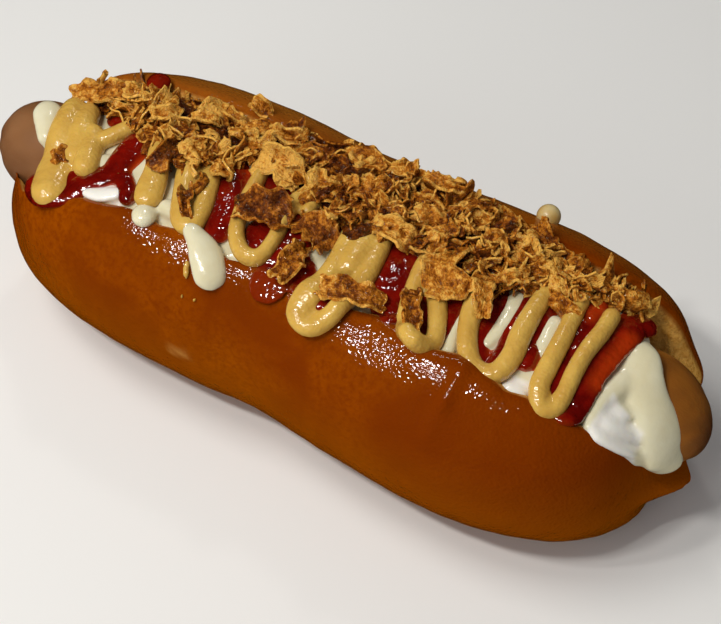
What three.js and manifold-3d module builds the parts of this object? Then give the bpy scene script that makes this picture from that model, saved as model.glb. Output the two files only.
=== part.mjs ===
// A hot dog: a split soft roll holding a sausage, with mayonnaise, ketchup and mustard squeezed
// over it and a heap of fried onion flakes on top.
//
// Frame, in millimetres: X runs along the roll, Y across it and Z up. The origin is the middle of
// the flat spot that the roll rests on. The opening shows more from the -Y side.
import * as THREE from 'three';
import Module from 'manifold-3d';

const wasm = await Module();
wasm.setup();

// ---------------------------------------------------------------- driving sizes, mm
const ROLL_LENGTH = 154;
const ROLL_MIDDLE = -1;            // x of the roll's middle
const ROLL_WIDTH = 63;
const ROLL_HEIGHT = 50;
const FLAT_DEPTH = 1;              // how much of the round underside is pressed flat
const SECTION_POWER = 2.35;        // superellipse power of the roll's cross-section
const END_POWERS = [3.15, 3.8];    // how square the left and the right end are in plan
const WIDTH_TERMS = [0.03, 0.25, 0.03, -0.29];   // share of the width added by s, s^2, s^3, s^4
const BEND_TERMS = [-7, -0.7, 4.5, 2.4];         // sideways bend of the middle line, same powers
const END_RISE = 0.13;             // the shoulders stand this share higher than the middle
const END_SAG = 0.75;              // share of the lost height that lowers a section's centre
const WAIST = { x: -2.9, depth: 1.8, reach: 11 };  // dent in the near side
const NEAR_LIP = 20;               // from the middle line to the near edge of the cut
const FAR_LIP = 15;                // and to the far edge
const LIP_SHARE = 0.92;            // near the ends a lip stays within this share of the half width

const SAUSAGE_RADIUS = 10.4;
const SAUSAGE_CAP = 12;            // length of each rounded end
const SAUSAGE_TIPS = [-82, 83.4];  // x of both tips
const SAUSAGE_START = { y: 0.5, z: 32.6 };       // centre line at the left tip
const SAUSAGE_END = { y: -2.4, z: 30.5 };        // and at the right tip
const CLEARANCE = 0.6;             // sausage to roll
const GAP = 0.45;                  // air left between any two pieces
const SLIVER = 0.08;               // detail finer than this is left out

const COAT = 1.5;                  // sauce over the top of the sausage
const BED_CROWN = 1.5;             // how much the sauce bed stands proud in the middle
const BED_DEPTH = 6;               // how deep the sauce goes between sausage and roll
const BED_ENDS = [-67, 74.5];      // x of the ends of the sauce bed, on top
const UNDERLAY = 1.5;              // the mustard's underside above the bed

const HEAP_ENDS = [-60, 65];       // x of both ends of the onion heap
const HEAP_NEAR_EDGE = [[-60, 3], [-46, -5], [-37, -8], [-26, -6], [-20, -1], [-6, -1], [4, -6],
  [20, -8], [34, -8], [43, -3], [52, -1], [65, 5]];   // its near edge in plan, x and y
const HEAP_OVER_LIP = 2.5;         // how far it spills over the far lip
const HEAP_RIM = 2.6;              // height of its rim above what it lies on
const HEAP_HEIGHT = 4.8;           // and of its crown above the rim
const HEAP_FLAKES = 32;
const FLAKE_THICKNESS = 0.9;

// ---------------------------------------------------------------- small helpers
const clamp = (v, low, high) => Math.min(high, Math.max(low, v));
const fraction = (v) => v - Math.floor(v);
const power = (v, p) => Math.sign(v) * Math.abs(v) ** p;
const terms = (list, s) => list.reduce((sum, k, i) => sum + k * s ** (i + 1), 0);

// A closed surface from rings of points. Each ring has the same number of points; the first and
// the last ring are closed by a fan round their own middle.
function loft(rings) {
  const count = rings[0].length;
  const points = rings.flat();
  const faces = [];
  for (let r = 0; r + 1 < rings.length; r++) {
    for (let i = 0; i < count; i++) {
      const a = r * count + i, b = r * count + (i + 1) % count;
      faces.push(a, b, b + count, a, b + count, a + count);
    }
  }
  [[rings[0], 0, true], [rings.at(-1), (rings.length - 1) * count, false]]
    .forEach(([ring, first, flip]) => {
      const middle = ring.reduce((sum, p) => sum.add(p), new THREE.Vector3())
        .divideScalar(count);
      const hub = points.push(middle) - 1;
      for (let i = 0; i < count; i++) {
        const a = first + i, b = first + (i + 1) % count;
        faces.push(...(flip ? [hub, b, a] : [hub, a, b]));
      }
    });
  return { points, faces };
}

function toManifold({ points, faces }) {
  const make = (triVerts) => new wasm.Manifold(new wasm.Mesh({
    numProp: 3,
    vertProperties: new Float32Array(points.flatMap((p) => [p.x, p.y, p.z])),
    triVerts: new Uint32Array(triVerts),
  }));
  const solid = make(faces);
  if (solid.volume() > 0) return solid;
  const flipped = [];
  for (let i = 0; i < faces.length; i += 3) flipped.push(faces[i], faces[i + 2], faces[i + 1]);
  return make(flipped);
}

function toGeometry(solid) {
  const mesh = solid.getMesh();
  const geometry = new THREE.BufferGeometry();
  const place = [];
  for (let i = 0; i < mesh.numVert; i++) {
    place.push(...mesh.vertProperties.slice(i * mesh.numProp, i * mesh.numProp + 3));
  }
  geometry.setAttribute('position', new THREE.Float32BufferAttribute(place, 3));
  geometry.setIndex([...mesh.triVerts]);
  geometry.computeVertexNormals();
  return geometry;
}

// The solid with every point moved out along its normal: what another piece has to stay clear of.
function inflate(solid, distance) {
  const geometry = toGeometry(solid);
  const place = geometry.attributes.position, normal = geometry.attributes.normal;
  const points = [];
  for (let i = 0; i < place.count; i++) {
    points.push(new THREE.Vector3().fromBufferAttribute(place, i)
      .addScaledVector(new THREE.Vector3().fromBufferAttribute(normal, i), distance));
  }
  return toManifold({ points, faces: [...geometry.index.array] }).add(solid);
}

const join = (solids) => wasm.Manifold.union(solids);

const largestBody = (solid) => solid.decompose()
  .reduce((best, body) => (body.volume() > best.volume() ? body : best));

// Cuts away what the lower pieces and their gap take up, keeps the one largest body left and
// drops the slivers of its cut faces.
function restOn(solid, lowerPieces) {
  const cut = lowerPieces.reduce((left, lower) => left.subtract(lower), solid);
  return largestBody(largestBody(cut).simplify(SLIVER));
}

// ---------------------------------------------------------------- roll
function rollSection(x) {
  const s = clamp((x - ROLL_MIDDLE) / (ROLL_LENGTH / 2), -1, 1);
  const endPower = END_POWERS[s < 0 ? 0 : 1];
  const taper = (1 - Math.abs(s) ** endPower) ** (1 / endPower);
  const half = ROLL_WIDTH / 2 * taper * (1 + terms(WIDTH_TERMS, s));
  const rise = ROLL_HEIGHT / 2 * taper ** 0.8 * (1 + END_RISE * s * s);
  const centre = ROLL_HEIGHT / 2 - END_SAG * (ROLL_HEIGHT / 2 - rise) - FLAT_DEPTH;
  return { s, half, rise, centre, middle: terms(BEND_TERMS, s) };
}

// Height of the uncut roll's upper surface.
function rollTop(x, y) {
  const { half, rise, centre, middle } = rollSection(x);
  const share = Math.abs(y - middle) / Math.max(half, 0.001);
  return centre + rise * (1 - clamp(share, 0, 1) ** SECTION_POWER) ** (1 / SECTION_POWER);
}

// Both edges of the cut at x: side -1 is the near lip, side 1 the far lip.
function lip(x, side) {
  const { s, half, middle } = rollSection(x);
  const reach = side < 0 ? NEAR_LIP * (1 - 0.06 * s) : FAR_LIP;
  const y = middle + side * Math.min(reach, LIP_SHARE * half);
  return { y, z: rollTop(x, y) };
}

function sausageCentre(x) {
  const u = (x - SAUSAGE_TIPS[0]) / (SAUSAGE_TIPS[1] - SAUSAGE_TIPS[0]);
  return {
    y: THREE.MathUtils.lerp(SAUSAGE_START.y, SAUSAGE_END.y, u),
    z: THREE.MathUtils.lerp(SAUSAGE_START.z, SAUSAGE_END.z, u),
  };
}

// Floor of the cut at x, from the near to the far lip: straight down to the sausage's flank, round
// under it and straight up again. Points inside a low end stay on the roll's surface.
function cutFloor(x, arcSteps) {
  const centre = sausageCentre(x);
  const radius = SAUSAGE_RADIUS + CLEARANCE;
  const touch = [-1, 1].map((side) => {
    const edge = lip(x, side);
    const across = side * (edge.y - centre.y), up = edge.z - centre.z;
    const reach = Math.max(Math.hypot(across, up), radius * 1.001);
    const angle = Math.max(Math.atan2(up, across) - Math.acos(radius / reach), -1.4);
    return side < 0 ? -Math.PI - angle : angle;
  });
  const outer = radius / Math.cos((touch[1] - touch[0]) / arcSteps / 2);
  return Array.from({ length: arcSteps + 1 }, (_, i) => {
    const a = THREE.MathUtils.lerp(touch[0], touch[1], i / arcSteps);
    const reach = i % arcSteps === 0 ? radius : outer;
    const y = clamp(centre.y + reach * Math.cos(a), lip(x, -1).y, lip(x, 1).y);
    return new THREE.Vector3(x, y, Math.min(centre.z + reach * Math.sin(a), rollTop(x, y)));
  });
}

function makeRoll() {
  const stations = 26, outerSteps = 20, arcSteps = 6;
  const rings = [];
  for (let r = 0; r <= stations; r++) {
    const s = -Math.cos(Math.PI * (r + 0.18) / (stations + 0.36));
    const x = ROLL_MIDDLE + s * ROLL_LENGTH / 2;
    const { half, rise, centre, middle } = rollSection(x);
    const lips = [lip(x, -1), lip(x, 1)];
    const angle = ({ y, z }) => Math.atan2(
      power((z - centre) / rise, SECTION_POWER / 2), power((y - middle) / half, SECTION_POWER / 2));
    const start = angle(lips[1]), end = angle(lips[0]) - 2 * Math.PI;
    const ring = [];
    for (let i = 0; i <= outerSteps; i++) {
      const a = THREE.MathUtils.lerp(start, end, i / outerSteps);
      const cos = power(Math.cos(a), 2 / SECTION_POWER);
      const sin = power(Math.sin(a), 2 / SECTION_POWER);
      const waist = WAIST.depth * Math.exp(-(((x - WAIST.x) / WAIST.reach) ** 2))
        * clamp(-cos, 0, 1) ** 2;
      ring.push(new THREE.Vector3(x, middle + half * cos + waist,
        Math.max(centre + rise * sin, 0)));
    }
    rings.push([...ring, ...cutFloor(x, arcSteps)]);
  }
  return toManifold(loft(rings));
}

// ---------------------------------------------------------------- sausage
function makeSausage() {
  const sides = 16, capSteps = 4, bodySteps = 4;
  const [left, right] = SAUSAGE_TIPS;
  const cap = Array.from({ length: capSteps + 1 }, (_, i) => {
    const a = Math.PI / 2 * (i + 0.3) / (capSteps + 0.3);
    return [SAUSAGE_CAP * (1 - Math.cos(a)), Math.sin(a)];
  });
  const body = Array.from({ length: bodySteps - 1 }, (_, i) =>
    [THREE.MathUtils.lerp(left + SAUSAGE_CAP, right - SAUSAGE_CAP, (i + 1) / bodySteps), 1]);
  const stations = [...cap.map(([depth, share]) => [left + depth, share]), ...body,
    ...cap.reverse().map(([depth, share]) => [right - depth, share])];
  return toManifold(loft(stations.map(([x, share]) => {
    const { y, z } = sausageCentre(x);
    return Array.from({ length: sides }, (_, i) => {
      const a = 2 * Math.PI * i / sides;
      return new THREE.Vector3(x, y + SAUSAGE_RADIUS * share * Math.cos(a),
        z + SAUSAGE_RADIUS * share * Math.sin(a));
    });
  })));
}

// ---------------------------------------------------------------- sauces
// Height of what the sauces and the onions lie on: the roll, the sauce bed or the bare sausage.
function bedTop(x, y) {
  const near = lip(x, -1), far = lip(x, 1);
  const middle = (near.y + far.y) / 2, half = (far.y - near.y) / 2;
  const share = clamp((y - middle) / half, -1, 1);
  const rim = THREE.MathUtils.lerp(near.z, far.z, (share + 1) / 2);
  const fill = Math.min(rim, 45.5) + BED_CROWN * (1 - share * share) - 0.4;
  const centre = sausageCentre(x);
  const along = (x - clamp(x, SAUSAGE_TIPS[0] + SAUSAGE_CAP, SAUSAGE_TIPS[1] - SAUSAGE_CAP))
    * SAUSAGE_RADIUS / SAUSAGE_CAP;
  const square = (SAUSAGE_RADIUS + COAT) ** 2 - along ** 2 - (y - centre.y) ** 2;
  const coat = square > 0 ? centre.z + Math.sqrt(square) : 0;
  return Math.max(fill, coat);
}

function lieOn(x, y) {
  const inside = y > lip(x, -1).y && y < lip(x, 1).y;
  return inside ? bedTop(x, y) : rollTop(x, y);
}

// A squeezed strand with round ends, carried along a smooth path. Each path point is [x, y, width],
// or [x, y, width, z] in the air; without z the strand's middle keeps `lift` above what it lies on.
// `crown` and `sole` are how far it reaches above and below its middle.
function strand(path, { crown, sole, lift, spacing, sides = 6 }) {
  const curve = new THREE.CatmullRomCurve3(path.map(([x, y, , z]) =>
    new THREE.Vector3(x, y, z ?? lieOn(x, y) + lift)), false, 'centripetal');
  const widths = new THREE.CatmullRomCurve3(path.map(([, , width], i) =>
    new THREE.Vector3(i, width, 0)), false, 'centripetal');
  const length = curve.getLength();
  const steps = Math.max(2, Math.round(length / spacing));
  const stations = [];
  for (let i = 0; i <= steps; i++) stations.push([i / steps, 0, 1]);
  stations.unshift([0, -0.85, 0.45]);
  stations.push([1, 0.85, 0.45]);
  const rings = stations.map(([t, beyond, share]) => {
    const ahead = curve.getTangentAt(t);
    const width = widths.getPoint(curve.getUtoTmapping(t)).y;
    const middle = curve.getPointAt(t).addScaledVector(ahead, beyond * width / 2);
    const side = new THREE.Vector3().crossVectors(new THREE.Vector3(0, 0, 1), ahead).normalize();
    const up = new THREE.Vector3().crossVectors(ahead, side);
    return Array.from({ length: sides }, (_, i) => {
      const a = 2 * Math.PI * (i + 0.5) / sides;
      const reach = Math.sin(a) > 0 ? crown : sole;
      return middle.clone().addScaledVector(side, width / 2 * share * Math.cos(a))
        .addScaledVector(up, reach * share * Math.sin(a));
    });
  });
  // joined length by length, so that a tight turn may overlap itself
  return join(rings.slice(1).map((ring, i) => toManifold(loft([rings[i], ring]))));
}

// The bed of mayonnaise that fills the cut round the sausage and coats the sausage's top.
function makeBed() {
  const along = 12, across = 6;
  const rings = [];
  for (let r = 0; r <= along; r++) {
    const top = [], bottom = [];
    for (let i = 0; i <= across; i++) {
      const v = 2 * i / across - 1;
      const left = BED_ENDS[0] + 5 * v * v, right = BED_ENDS[1] - 9 * Math.max(v, 0);
      const x = THREE.MathUtils.lerp(left, right, r / along);
      const near = lip(x, -1), far = lip(x, 1);
      const y = THREE.MathUtils.lerp(near.y, far.y, (v + 1) / 2) - 0.3 * v;
      const z = bedTop(x, y);
      top.push(new THREE.Vector3(x, y, z));
      bottom.push(new THREE.Vector3(x, y, z - BED_DEPTH));
    }
    rings.push([...top, ...bottom.reverse()]);
  }
  return toManifold(loft(rings));
}

// Everything up to a little above the roll and the bed, as one plain block: what the mustard and
// the onions are cut flat on.
function makeUnderlay() {
  const along = 20, across = 9;
  const rings = [];
  for (let r = 0; r <= along; r++) {
    const x = THREE.MathUtils.lerp(-84, 84, r / along);
    const top = [], bottom = [];
    for (let i = 0; i <= across; i++) {
      const y = THREE.MathUtils.lerp(-32, 30, i / across);
      const onBed = y > lip(x, -1).y && y < lip(x, 1).y;
      top.push(new THREE.Vector3(x, y, Math.max(lieOn(x, y), 1) + (onBed ? UNDERLAY : GAP)));
      bottom.push(new THREE.Vector3(x, y, 0));
    }
    rings.push([...top, ...bottom.reverse()]);
  }
  return toManifold(strip(rings));
}

// Mayonnaise that stands on the bed or runs off it.
const MAYONNAISE_STRAND = { crown: 1.7, sole: 1.4, lift: 0.3, spacing: 5 };
const MAYONNAISE_RUNS = [
  [[-69, 2, 6], [-66, -3, 6], [-65, -7, 3]],                                 // patch at the left
  [[-35, -15.5, 4], [-31.5, -18.5, 4.8]],                                    // small drop
  [[-23, -14, 7], [-20, -18, 7], [-16.5, -22, 6.6], [-14.8, -25.5, 7.4]],    // large drip
  [[67, 4, 5], [65.5, -4, 4.5], [64, -12, 4], [64.5, -20, 3.5]],             // thin leg
  [[66, 4, 8, 42.6], [70, -1.5, 9, 42.6], [73.8, -6.5, 9.5, 39.8], [76.6, -10.2, 9.5, 34.5],
    [77.8, -11.8, 9, 28.5], [78.4, -12.6, 8, 25]],                           // thick leg
];

// Ketchup: one line squeezed to and fro across the roll, let into the bed.
const KETCHUP_STRAND = { crown: 1.1, sole: 1.5, lift: -0.2, spacing: 6.8, sides: 5 };
const KETCHUP_LINE = [
  [-66, -11, 5], [-62, -16, 6], [-56, -20, 6.5], [-51, -17, 8], [-47, -11, 9], [-46.5, -3, 9],
  [-44, 7, 7], [-37, 9.5, 5], [-28, 9.5, 5], [-23.5, 6, 6], [-22, -3, 7], [-18.5, -13, 6],
  [-14, -17.5, 5], [-9.5, -13, 6], [-9.5, -3, 6], [-7.5, 7, 5], [-3, 9, 5], [0.5, 3, 6],
  [1, -8, 8], [3, -18, 6], [9, -21, 4], [15, -17, 6], [18.5, -9, 8], [18, 2, 7], [21, 8, 5],
  [26, 6, 5], [28, -4, 6], [28.5, -14, 7], [32, -19, 5], [34.5, -12, 4], [35, -1, 4.5],
  [38.5, 6, 5], [42.5, 1, 5], [43.5, -9, 5], [45, -17, 5], [49.5, -19, 4], [51, -11, 4.5],
  [51.5, -1, 4.5], [55, 5, 4], [57.5, -3, 4.5], [57, -13, 4.5], [59, -20.5, 4], [62, -13, 4],
  [63, -4, 6], [63.5, 5, 6],
];
const KETCHUP_SMEAR = [[1, -15, 7], [-2, -21, 6], [-4, -25, 4]];

// Mustard: one line squeezed over the rest in the same way, and the places where it piled up.
const MUSTARD_STRAND = { crown: 2.4, sole: 1.6, lift: 2.2, spacing: 4.7, sides: 5 };
const MUSTARD_LINE = [
  [-58, 0, 4.4], [-54, -1, 4.4], [-49.5, 1.5, 4.4], [-46, 6.5, 4.4], [-42.5, 7, 4.8],
  [-40.5, 0, 5.2], [-37.5, -8, 5.8], [-34.5, -14, 5.8], [-31.8, -10, 3], [-33.5, -3, 3],
  [-34.5, 5, 3.4], [-31, 8.5, 3.6], [-29, 3, 3.8], [-28.5, -5, 4], [-26, -12.5, 4],
  [-22.8, -9, 3.6], [-22.8, 0, 3.6], [-21, 7, 3.2], [-17.8, 4, 3.2], [-18, -3, 3.2],
  [-16.5, -9, 3.2], [-14.5, -14.5, 3.2], [-10.5, -17.5, 3.2], [-7.2, -14, 3.2],
  [-8, -6, 3.2], [-7, 4, 3], [-4.5, 4.5, 2.8], [-4.5, -2, 2.8], [-1.8, 2, 3], [1, 8.5, 3.6],
  [6, 5, 4.4], [8, -3, 4.6], [7, -11, 4.8], [5.8, -18, 4.8], [5.5, -23, 4.8], [9, -25.5, 4.6],
  [12, -21.5, 4.2], [13.5, -15, 4.2], [13.2, -5, 4.4], [15, 3, 4], [19.5, 7.5, 3.6],
  [23, 3, 3.6], [25.5, -5, 3.8], [28.5, -12, 3.8], [31.2, -19, 3.8], [34, -14, 2.6],
  [31.5, -4, 2.8], [31, 5, 3.2], [34, 7.5, 4], [35.8, 1, 4.2], [36, -7, 4.2], [38, -14, 4.2],
  [42, -20.3, 4.2], [46, -17, 4.2], [46.3, -8, 4.2], [46.3, 2, 4.2], [49.5, 8, 4.2],
  [53.2, 4, 4.2], [53, -5, 4.2], [52.8, -14, 4.2], [54.3, -21, 4.2], [58, -20, 4.2],
  [58.5, -11, 4.2], [59, -3, 4.2], [59.5, 4, 4.2],
];
const MUSTARD_PILES = [
  [[-63, 6, 6], [-62, -2, 6.5], [-60, -9, 6.5], [-57.5, -16.5, 7.4]],
  [[-59, 6, 7], [-56, -1, 7], [-53.5, -8.5, 6.4]],
  [[9, 1, 6], [10.2, -6, 6], [9, -14, 5], [7.5, -19, 4]],
];

// Drops that fell on the far side of the roll, apart from the rest.
const FAR_DROPS = {
  ketchup_drop: { x: -53.4, y: 17, width: 6, colour: 0x8e2602 },
  mustard_drop: { x: 38, y: 18.5, width: 5, colour: 0xc9a14a },
};

// ---------------------------------------------------------------- fried onions
// A flake: a thin sheet bent into an arc along its length, with a wavy, frayed outline. `turn` is
// its heading in plan, `pitch` and `roll` tip it, all in radians.
function flake({ at, length, width, bend, turn, pitch, roll, seed = 0 }, cells = [2, 2]) {
  const [n, m] = cells;
  const spin = new THREE.Matrix4().makeRotationFromEuler(
    new THREE.Euler(roll, pitch, turn, 'ZYX'));
  const surface = (i, j, side) => {
    const u = 2 * i / n - 1, v = 2 * j / m - 1;
    const fray = 1 + 0.25 * Math.sin(seed * 7.1 + i * 2.4 + j * 3.7);
    const taper = 1 - 0.35 * u * u;
    const radius = length / Math.max(bend, 0.05);
    const a = u * bend / 2;
    const crinkle = 0.12 * width * Math.sin(seed * 3.3 + i * 1.9 + j * 4.1);
    const local = new THREE.Vector3(
      (radius + side * FLAKE_THICKNESS / 2) * Math.sin(a),
      v * width / 2 * taper * fray,
      (radius + side * FLAKE_THICKNESS / 2) * Math.cos(a) - radius + crinkle);
    return local.applyMatrix4(spin).add(new THREE.Vector3(...at));
  };
  const rings = [];
  for (let i = 0; i <= n; i++) {
    const ring = [];
    for (let j = 0; j <= m; j++) ring.push(surface(i, j, 1));
    for (let j = m; j >= 0; j--) ring.push(surface(i, j, -1));
    rings.push(ring);
  }
  return toManifold(strip(rings));
}

// Like loft, with each end closed by a strip between the two faces of the sheet.
function strip(rings) {
  const count = rings[0].length, half = count / 2;
  const faces = [];
  for (let r = 0; r + 1 < rings.length; r++) {
    for (let i = 0; i < count; i++) {
      const a = r * count + i, b = r * count + (i + 1) % count;
      faces.push(a, b, b + count, a, b + count, a + count);
    }
  }
  for (const [first, flip] of [[0, true], [(rings.length - 1) * count, false]]) {
    for (let i = 0; i + 1 < half; i++) {
      const quad = [first + i, first + i + 1, first + count - 2 - i, first + count - 1 - i];
      const [a, b, c, d] = flip ? quad : [...quad].reverse();
      faces.push(a, c, b, a, d, c);
    }
  }
  return { points: rings.flat(), faces };
}

// The heap's middle line and half width in plan, and how it thins out at its ends.
function heapPlan(x) {
  const next = HEAP_NEAR_EDGE.findIndex(([edge]) => edge > x);
  const [a, b] = [HEAP_NEAR_EDGE.at(next - 1), HEAP_NEAR_EDGE.at(next)];
  const near = next > 0 ? THREE.MathUtils.mapLinear(x, a[0], b[0], a[1], b[1])
    : HEAP_NEAR_EDGE.at(next)[1];
  const far = lip(x, 1).y + HEAP_OVER_LIP;
  const u = (x - HEAP_ENDS[0]) / (HEAP_ENDS[1] - HEAP_ENDS[0]);
  return { middle: (far + near) / 2, half: (far - near) / 2, taper: (1 - (2 * u - 1) ** 6) ** 0.5 };
}

function heapTop(x, y) {
  const { middle, half, taper } = heapPlan(x);
  const share = clamp((y - middle) / half, -1, 1);
  return lieOn(x, y) + HEAP_RIM + HEAP_HEIGHT * taper * Math.sqrt(1 - share * share);
}

function makeCore() {
  const along = 15, around = 8;
  const rings = [];
  for (let r = 0; r <= along; r++) {
    const u = (1 - Math.cos(Math.PI * (r + 0.4) / (along + 0.8))) / 2;
    const x = THREE.MathUtils.lerp(HEAP_ENDS[0] + 3, HEAP_ENDS[1] - 3, u);
    const { middle, half, taper } = heapPlan(x);
    const ring = [];
    for (let i = 0; i < around; i++) {
      const a = 2 * Math.PI * i / around;
      const y = middle + 0.82 * half * taper * Math.cos(a);
      const lump = 0.72 + 0.22 * Math.sin(2.3 * r + 1.7 * i);
      const rise = Math.sin(a) > 0 ? lump * HEAP_HEIGHT * taper * Math.sin(a) : Math.sin(a);
      ring.push(new THREE.Vector3(x, y, lieOn(x, y) + 1.4 + rise));
    }
    rings.push(ring);
  }
  return toManifold(loft(rings));
}

// Place k of the heap: low-discrepancy sequences spread the flakes evenly over the heap.
function heapFlake(k) {
  const along = fraction(0.5 + k * 0.7548776662), across = fraction(0.5 + k * 0.5698402910);
  const a = fraction(0.1 + k * 0.6180339887), b = fraction(k * 0.8191725134);
  const c = fraction(0.7 + k * 0.4142135624);
  const x = THREE.MathUtils.lerp(...HEAP_ENDS, along);
  const { middle, half } = heapPlan(x);
  const y = middle + half * 0.95 * (2 * across - 1);
  return {
    at: [x, y, heapTop(x, y) - 0.6 + 1.2 * a],
    length: 6 + 6 * b * b, width: 3.4 + 2.6 * c, bend: 0.5 + 1.9 * a,
    turn: 2 * Math.PI * fraction(k * 0.2360679775), pitch: 1.2 * (a - 0.5), roll: 1.5 * (c - 0.5),
    seed: k,
  };
}

// Larger flakes that stand out in the heap.
const MARKED_FLAKES = [
  { at: [-58.5, 9, 47], length: 15, width: 6, bend: 0.9, turn: 0.15, pitch: 0.1, roll: 0.5 },
  { at: [-59, 12, 49], length: 7, width: 2.6, bend: 0.4, turn: 0.5, pitch: -1.2, roll: 0.4 },
  { at: [-15, 8, 51.5], length: 9.5, width: 8.5, bend: 0.8, turn: -0.5, pitch: 0.2, roll: 0.5 },
  { at: [26.5, -4, 51], length: 11, width: 9, bend: 0.6, turn: 1.2, pitch: 0.1, roll: 0.35 },
  { at: [37.5, -4, 50.5], length: 9, width: 6, bend: 1.1, turn: 1.1, pitch: 0.3, roll: 0.3 },
  { at: [47.5, 3, 51], length: 13, width: 5, bend: 0.6, turn: 1.9, pitch: 0.2, roll: 0.5 },
  { at: [55, 4, 50], length: 9, width: 6, bend: 0.9, turn: 0.7, pitch: -0.2, roll: 0.4 },
  { at: [5, 15.5, 53.2], length: 9, width: 5, bend: 1.2, turn: 0.3, pitch: 0.4, roll: 0.5 },
  { at: [14, 15, 53.6], length: 8, width: 5, bend: 0.8, turn: -0.4, pitch: -0.3, roll: 0.7 },
  { at: [23, 13.5, 53.8], length: 10, width: 6, bend: 1.3, turn: 0.6, pitch: 0.3, roll: 0.4 },
  { at: [32, 12.5, 53.6], length: 9, width: 5, bend: 0.9, turn: -0.2, pitch: 0.3, roll: 0.8 },
  { at: [62.5, 6, 48], length: 11, width: 4, bend: 0.8, turn: -0.2, pitch: 0.3, roll: 0.4 },
];

// Flakes that lie apart from the heap, on the sauces.
const LOOSE_FLAKES = [
  { at: [-59, -8.5, 49.5], length: 5.5, width: 3.6, bend: 0.8, turn: 0.6, pitch: 0, roll: 0.2 },
  { at: [-28, -8, 51.5], length: 9, width: 4.6, bend: 0.7, turn: 1.35, pitch: 0.1, roll: 0.1 },
  { at: [-12, -6.5, 51.5], length: 12, width: 8, bend: 0.9, turn: -0.1, pitch: 0, roll: 0.3 },
  { at: [-0.5, -13.5, 50], length: 11, width: 5.5, bend: 0.8, turn: 1, pitch: 0.1, roll: 0.3 },
  { at: [13.5, -17, 51.2], length: 13, width: 5, bend: 0.7, turn: -0.25, pitch: 0, roll: 0.2 },
  { at: [26, -13.5, 51.5], length: 11, width: 4.4, bend: 0.6, turn: 1.25, pitch: 0.1, roll: 0.2 },
];

// ---------------------------------------------------------------- assembly
const group = new THREE.Group();
group.name = 'hot_dog';

// Adds a named piece, and returns what the pieces laid on it later have to stay clear of.
function addPiece(name, solid, colour, roughness) {
  const material = new THREE.MeshStandardMaterial({ color: colour, roughness, metalness: 0 });
  const mesh = new THREE.Mesh(toGeometry(solid), material);
  mesh.name = name;
  group.add(mesh);
  return inflate(solid, GAP);
}

const sausage = addPiece('sausage', makeSausage(), 0x7c4e2a, 0.4);
const roll = addPiece('bun', restOn(makeRoll(), []), 0x8f4a14, 0.45);

const ketchup = addPiece('ketchup', restOn(strand(KETCHUP_LINE, KETCHUP_STRAND)
  .add(strand(KETCHUP_SMEAR, KETCHUP_STRAND)), [sausage, roll]), 0x8e1c06, 0.2);

const mayonnaise = addPiece('mayonnaise', restOn(join([makeBed(),
  ...MAYONNAISE_RUNS.map((run) => strand(run, MAYONNAISE_STRAND))]),
[sausage, roll, ketchup]), 0xe6dfc4, 0.3);

const floor = [makeUnderlay(), roll, ketchup, mayonnaise];
const mustard = join([MUSTARD_LINE, ...MUSTARD_PILES].map((line) =>
  strand(line, MUSTARD_STRAND)));
floor.push(addPiece('mustard', restOn(mustard, floor), 0xc9a14a, 0.3));

const heap = join([makeCore(), ...MARKED_FLAKES.map((spec) => flake(spec)),
  ...Array.from({ length: HEAP_FLAKES }, (_, k) => flake(heapFlake(k)))]);
floor.push(addPiece('fried_onions', restOn(heap, floor), 0x9a6224, 0.7));

for (const [name, { x, y, width, colour }] of Object.entries(FAR_DROPS)) {
  const drop = strand([[x - 1, y, width], [x, y, width], [x + 1, y, width]],
    { crown: 2, sole: 1.5, lift: 0.6, spacing: 1 });
  floor.push(addPiece(name, restOn(drop, floor), colour, 0.25));
}

LOOSE_FLAKES.forEach((spec, i) => {
  const name = `onion_flake_${String(i + 1).padStart(2, '0')}`;
  floor.push(addPiece(name, restOn(flake(spec), floor), 0x9a6224, 0.7));
});

export default group;
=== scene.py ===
"""A hot dog: roll, sausage, mayonnaise, ketchup, mustard and fried onions.

Lengths in this file are millimetres unless a name or a property says otherwise; meshes are
written in metres. X runs along the roll, Y across it and Z up, from the spot the roll rests on.
"""

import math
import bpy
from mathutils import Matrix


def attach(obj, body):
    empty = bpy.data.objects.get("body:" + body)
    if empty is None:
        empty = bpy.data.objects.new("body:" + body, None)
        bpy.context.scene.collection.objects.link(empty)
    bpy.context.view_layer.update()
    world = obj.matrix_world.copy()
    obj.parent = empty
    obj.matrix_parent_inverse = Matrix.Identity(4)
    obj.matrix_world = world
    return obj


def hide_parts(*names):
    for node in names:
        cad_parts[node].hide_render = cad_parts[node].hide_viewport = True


bl_info = {
    "name": "Hot Dog",
    "version": (1, 0, 0),
    "blender": (4, 5, 0),
    "location": "View3D > Sidebar > Hot Dog",
    "description": "Builds a hot dog with squeezed sauces and fried onions on its packed model",
    "category": "Object",
}

import bpy
import numpy as np
from bpy.props import FloatProperty, FloatVectorProperty, IntProperty, PointerProperty
from mathutils import Vector

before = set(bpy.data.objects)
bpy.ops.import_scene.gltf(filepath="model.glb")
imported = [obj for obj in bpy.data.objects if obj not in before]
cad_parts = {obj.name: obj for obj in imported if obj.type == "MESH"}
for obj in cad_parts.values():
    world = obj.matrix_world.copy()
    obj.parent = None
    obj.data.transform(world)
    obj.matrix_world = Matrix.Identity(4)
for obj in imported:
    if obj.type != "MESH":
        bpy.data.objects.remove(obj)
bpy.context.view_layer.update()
MM = 0.001

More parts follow.
